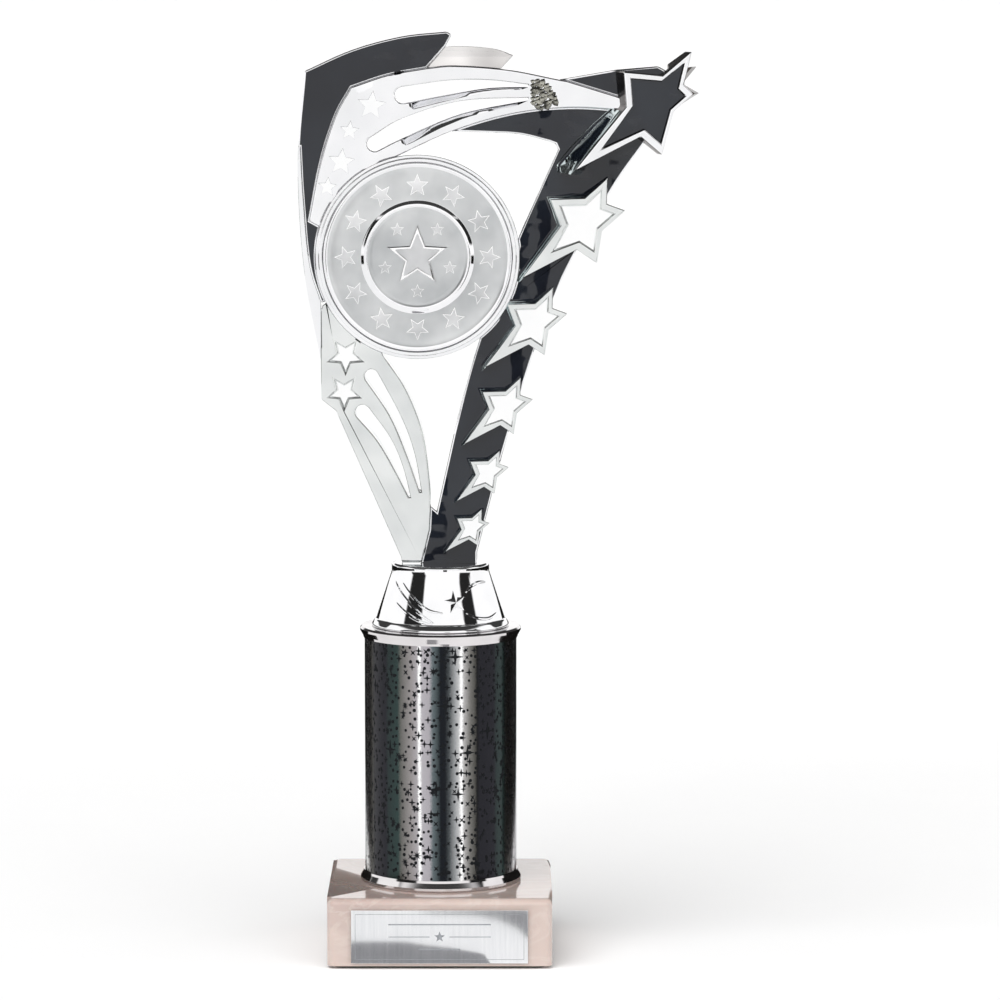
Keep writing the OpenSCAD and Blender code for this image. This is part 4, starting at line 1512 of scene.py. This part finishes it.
@dataclass
class Studio:
    """Light tent, floor, camera, and the cards that the plating and the plate reflect.

    A panel is a standing card: its two feet and its height, in metres. A sheet lies in front of
    the plate, and its corners are shares of the plate's width and height, as the camera sees
    them mirrored there. A sun gives its name, lean, turn, spread in degrees and power.
    """

    level: float = 1.15
    flags: tuple[Flag, ...] = (
        Flag(0, 90, 200, 46, 0.05, 6),
        Flag(-150, 60, 38, 43, 0.05, 3),
        Flag(150, 60, 38, 43, 0.05, 3),
        Flag(-54, 22, 15, 13, 0.02, 4),
        Flag(60, 24, 12, 13, 0.02, 4),
    )
    panels: tuple[tuple[float, float, float, float, float], ...] = (
        (-0.11, 0.058, -0.07, 0.42, 0.098), (0.11, 0.02, 0.07, 0.42, 0.098),
        (-1.0, -0.5, -1.0, 1.7, 0.15), (1.0, -0.5, 1.0, 1.7, 0.15),
        (0.11, -0.89, 0.25, -0.865, 0.17))
    sheets: tuple[tuple[Point, ...], ...] = (
        ((0.35, 1.05), (0.47, 0.95), (0.67, 0.9), (0.83, 0.78), (0.93, 0.62), (1.04, 0.35),
         (1.04, 1.05)),
        ((-0.04, -0.05), (0.79, -0.05), (0.75, 0.13), (0.55, 0.26), (0.31, 0.35), (-0.04, 0.36)))
    sheet_z: float = 0.0006
    half_floor: float = 90.0
    eye: tuple[float, float, float] = (0.0159, -1.3, 0.267)
    lens_mm: float = 176.6
    tilt: float = 6.406
    suns: tuple[tuple[str, float, float, float, float], ...] = (
        ("key_sun", 38, -35, 50, 2.3), ("fill_sun", 50, 40, 60, 1.15))

    def build(self) -> None:
        """Make the world light, the floor, the cards and the camera."""
        self.tent()
        self.floor()
        self.cards()
        self.camera()

    def tent(self) -> None:
        """Pale surround with its flags, as light and in reflections."""
        world = bpy.data.worlds.new("light_tent")
        bpy.context.scene.world = world
        world.use_nodes = True
        tree = world.node_tree
        tree.nodes.clear()

        def step(kind: str, a: object, b: object = 0.0, c: object = 0.0) -> bpy.types.NodeSocket:
            """One step of arithmetic in the world's tree."""
            node = tree.nodes.new("ShaderNodeMath")
            node.operation = kind
            for index, value in enumerate((a, b, c)):
                if isinstance(value, bpy.types.NodeSocket):
                    tree.links.new(value, node.inputs[index])
                else:
                    node.inputs[index].default_value = value
            return node.outputs[0]

        aim = tree.nodes.new("ShaderNodeTexCoord")
        split = tree.nodes.new("ShaderNodeSeparateXYZ")
        tree.links.new(aim.outputs["Generated"], split.inputs[0])
        x, y, z = split.outputs
        turn = step("MULTIPLY", step("ARCTAN2", x, step("MULTIPLY", y, -1.0)), 180 / math.pi)
        rise = step("MULTIPLY", step("ARCSINE", z), 180 / math.pi)
        level = self.level
        for flag in self.flags:
            masks = []
            for value, middle, half in ((turn, flag.turn, flag.half_turn),
                                        (rise, flag.rise, flag.half_rise)):
                away = step("ABSOLUTE", step("SUBTRACT", value, middle))
                node = tree.nodes.new("ShaderNodeMapRange")
                node.interpolation_type = "SMOOTHSTEP"
                tree.links.new(away, node.inputs["Value"])
                node.inputs["From Min"].default_value = half + flag.soft
                node.inputs["From Max"].default_value = half
                masks.append(node.outputs[0])
            mask = step("MULTIPLY", *masks)
            mix = tree.nodes.new("ShaderNodeMix")
            tree.links.new(mask, mix.inputs[0])
            if isinstance(level, bpy.types.NodeSocket):
                tree.links.new(level, mix.inputs[2])
            else:
                mix.inputs[2].default_value = level
            mix.inputs[3].default_value = flag.level
            level = mix.outputs[0]
        back = tree.nodes.new("ShaderNodeBackground")
        back.inputs["Color"].default_value = (1.0, 0.995, 0.99, 1.0)
        tree.links.new(level, back.inputs["Strength"])
        plain = tree.nodes.new("ShaderNodeBackground")
        plain.inputs["Color"].default_value = (1.0, 1.0, 1.0, 1.0)
        path = tree.nodes.new("ShaderNodeLightPath")
        blend = tree.nodes.new("ShaderNodeMixShader")
        out = tree.nodes.new("ShaderNodeOutputWorld")
        tree.links.new(path.outputs["Is Camera Ray"], blend.inputs[0])
        tree.links.new(back.outputs[0], blend.inputs[1])
        tree.links.new(plain.outputs[0], blend.inputs[2])
        tree.links.new(blend.outputs[0], out.inputs[0])

    def floor(self) -> None:
        """Pale floor that runs past the horizon."""
        mesh = bpy.data.meshes.new("floor")
        half = self.half_floor
        mesh.from_pydata([(-half, -half, 0), (half, -half, 0), (half, half, 0), (-half, half, 0)],
                         [], [(0, 1, 2, 3)])
        put("floor", mesh, (Finish.FLOOR,))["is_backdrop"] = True
        for name, lean, turn, spread, power in self.suns:
            lamp = bpy.data.lights.new(name, "SUN")
            lamp.angle = math.radians(spread)
            lamp.energy = power
            holder = bpy.data.objects.new(name, lamp)
            holder.rotation_euler = (math.radians(lean), 0.0, math.radians(turn))
            holder.location = (0.0, 0.0, 2.0)
            holder.visible_glossy = False
            bpy.context.scene.collection.objects.link(holder)

    def cards(self) -> None:
        """Black panels at the sides and grey sheets in front, which only reflections see."""
        for number, (x0, y0, x1, y1, top) in enumerate(self.panels):
            self.card(f"panel_{number}", Finish.FLAG, [
                (x0, y0, 0), (x1, y1, 0), (x1, y1, top), (x0, y0, top)])
        low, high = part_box("engraving_plate")
        for number, sheet in enumerate(self.sheets):
            points = []
            for across, up in sheet:
                x = low[0] + (high[0] - low[0]) * across
                z = low[2] + (high[2] - low[2]) * up
                far = z / (self.eye[2] - z)
                points.append((x + (x - self.eye[0]) * far, low[1] + (self.eye[1] - low[1]) * far,
                               self.sheet_z))
            self.card(f"sheet_{number}", Finish.CARD, points)

    def card(self, name: str, finish: Finish, points: Sequence[Sequence[float]]) -> None:
        """Stand one card in the studio.

        Args:
            name: Name of the card.
            finish: Its finish.
            points: Its outline in metres.
        """
        mesh = bpy.data.meshes.new(name)
        mesh.from_pydata([tuple(point) for point in points], [], [tuple(range(len(points)))])
        card = put(name, mesh, (finish,))
        card.visible_camera = card.visible_diffuse = card.visible_shadow = False
        card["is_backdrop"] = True

    def camera(self) -> None:
        """Long-lens camera in front, a little above the middle of the figure."""
        lens = bpy.data.cameras.new("camera")
        lens.lens = self.lens_mm
        lens.sensor_width = 36.0
        lens.clip_end = 300.0
        holder = bpy.data.objects.new("camera", lens)
        holder.location = self.eye
        holder.rotation_euler = (math.radians(90 - self.tilt), 0.0, 0.0)
        bpy.context.scene.collection.objects.link(holder)
        bpy.context.scene.camera = holder
        bpy.context.scene.view_settings.view_transform = "Standard"


# ---------------------------------------------------------------- assembly


@dataclass
class Inside:
    """CAD nodes that keep their shape and only get their material."""

    finishes: dict[str, Finish] = field(default_factory=lambda: {
        "base_felt_pad": Finish.FELT, "base_washer": Finish.STEEL, "base_nut": Finish.STEEL,
        "threaded_rod": Finish.STEEL, "figure_nut": Finish.STEEL, "plate_tape": Finish.TAPE,
        "disc_pad": Finish.TAPE, "riser_tube": Finish.TUBE, "foil_wrap": Finish.FOIL,
        "figure_dowels": Finish.PEG, "figure_pins": Finish.PEG,
        "tube_cap_bottom": Finish.CAP, "tube_cap_top": Finish.CAP})

    def build(self) -> None:
        """Dress the kept nodes."""
        for node, finish in self.finishes.items():
            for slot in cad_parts[node].material_slots:
                slot.material = finish.material()
            log.info("%s: keeps its CAD shape, %s", node, finish.value.name)


def corners() -> list[list[float]]:
    """The model's box as plain lists."""
    return [[float(value) for value in corner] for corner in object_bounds()]


def main() -> None:
    """Build the trophy, then its studio."""
    logging.basicConfig(level=logging.INFO, format="%(message)s")
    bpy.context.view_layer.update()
    for part in (Inside(), Base(), FoilPrint(), ConeCup(), Lacquered(), Plated(), StarSkirts(),
                 Collar(), CentreDisc(), Studio()):
        part.build()


if __name__ == "__main__":
    main()
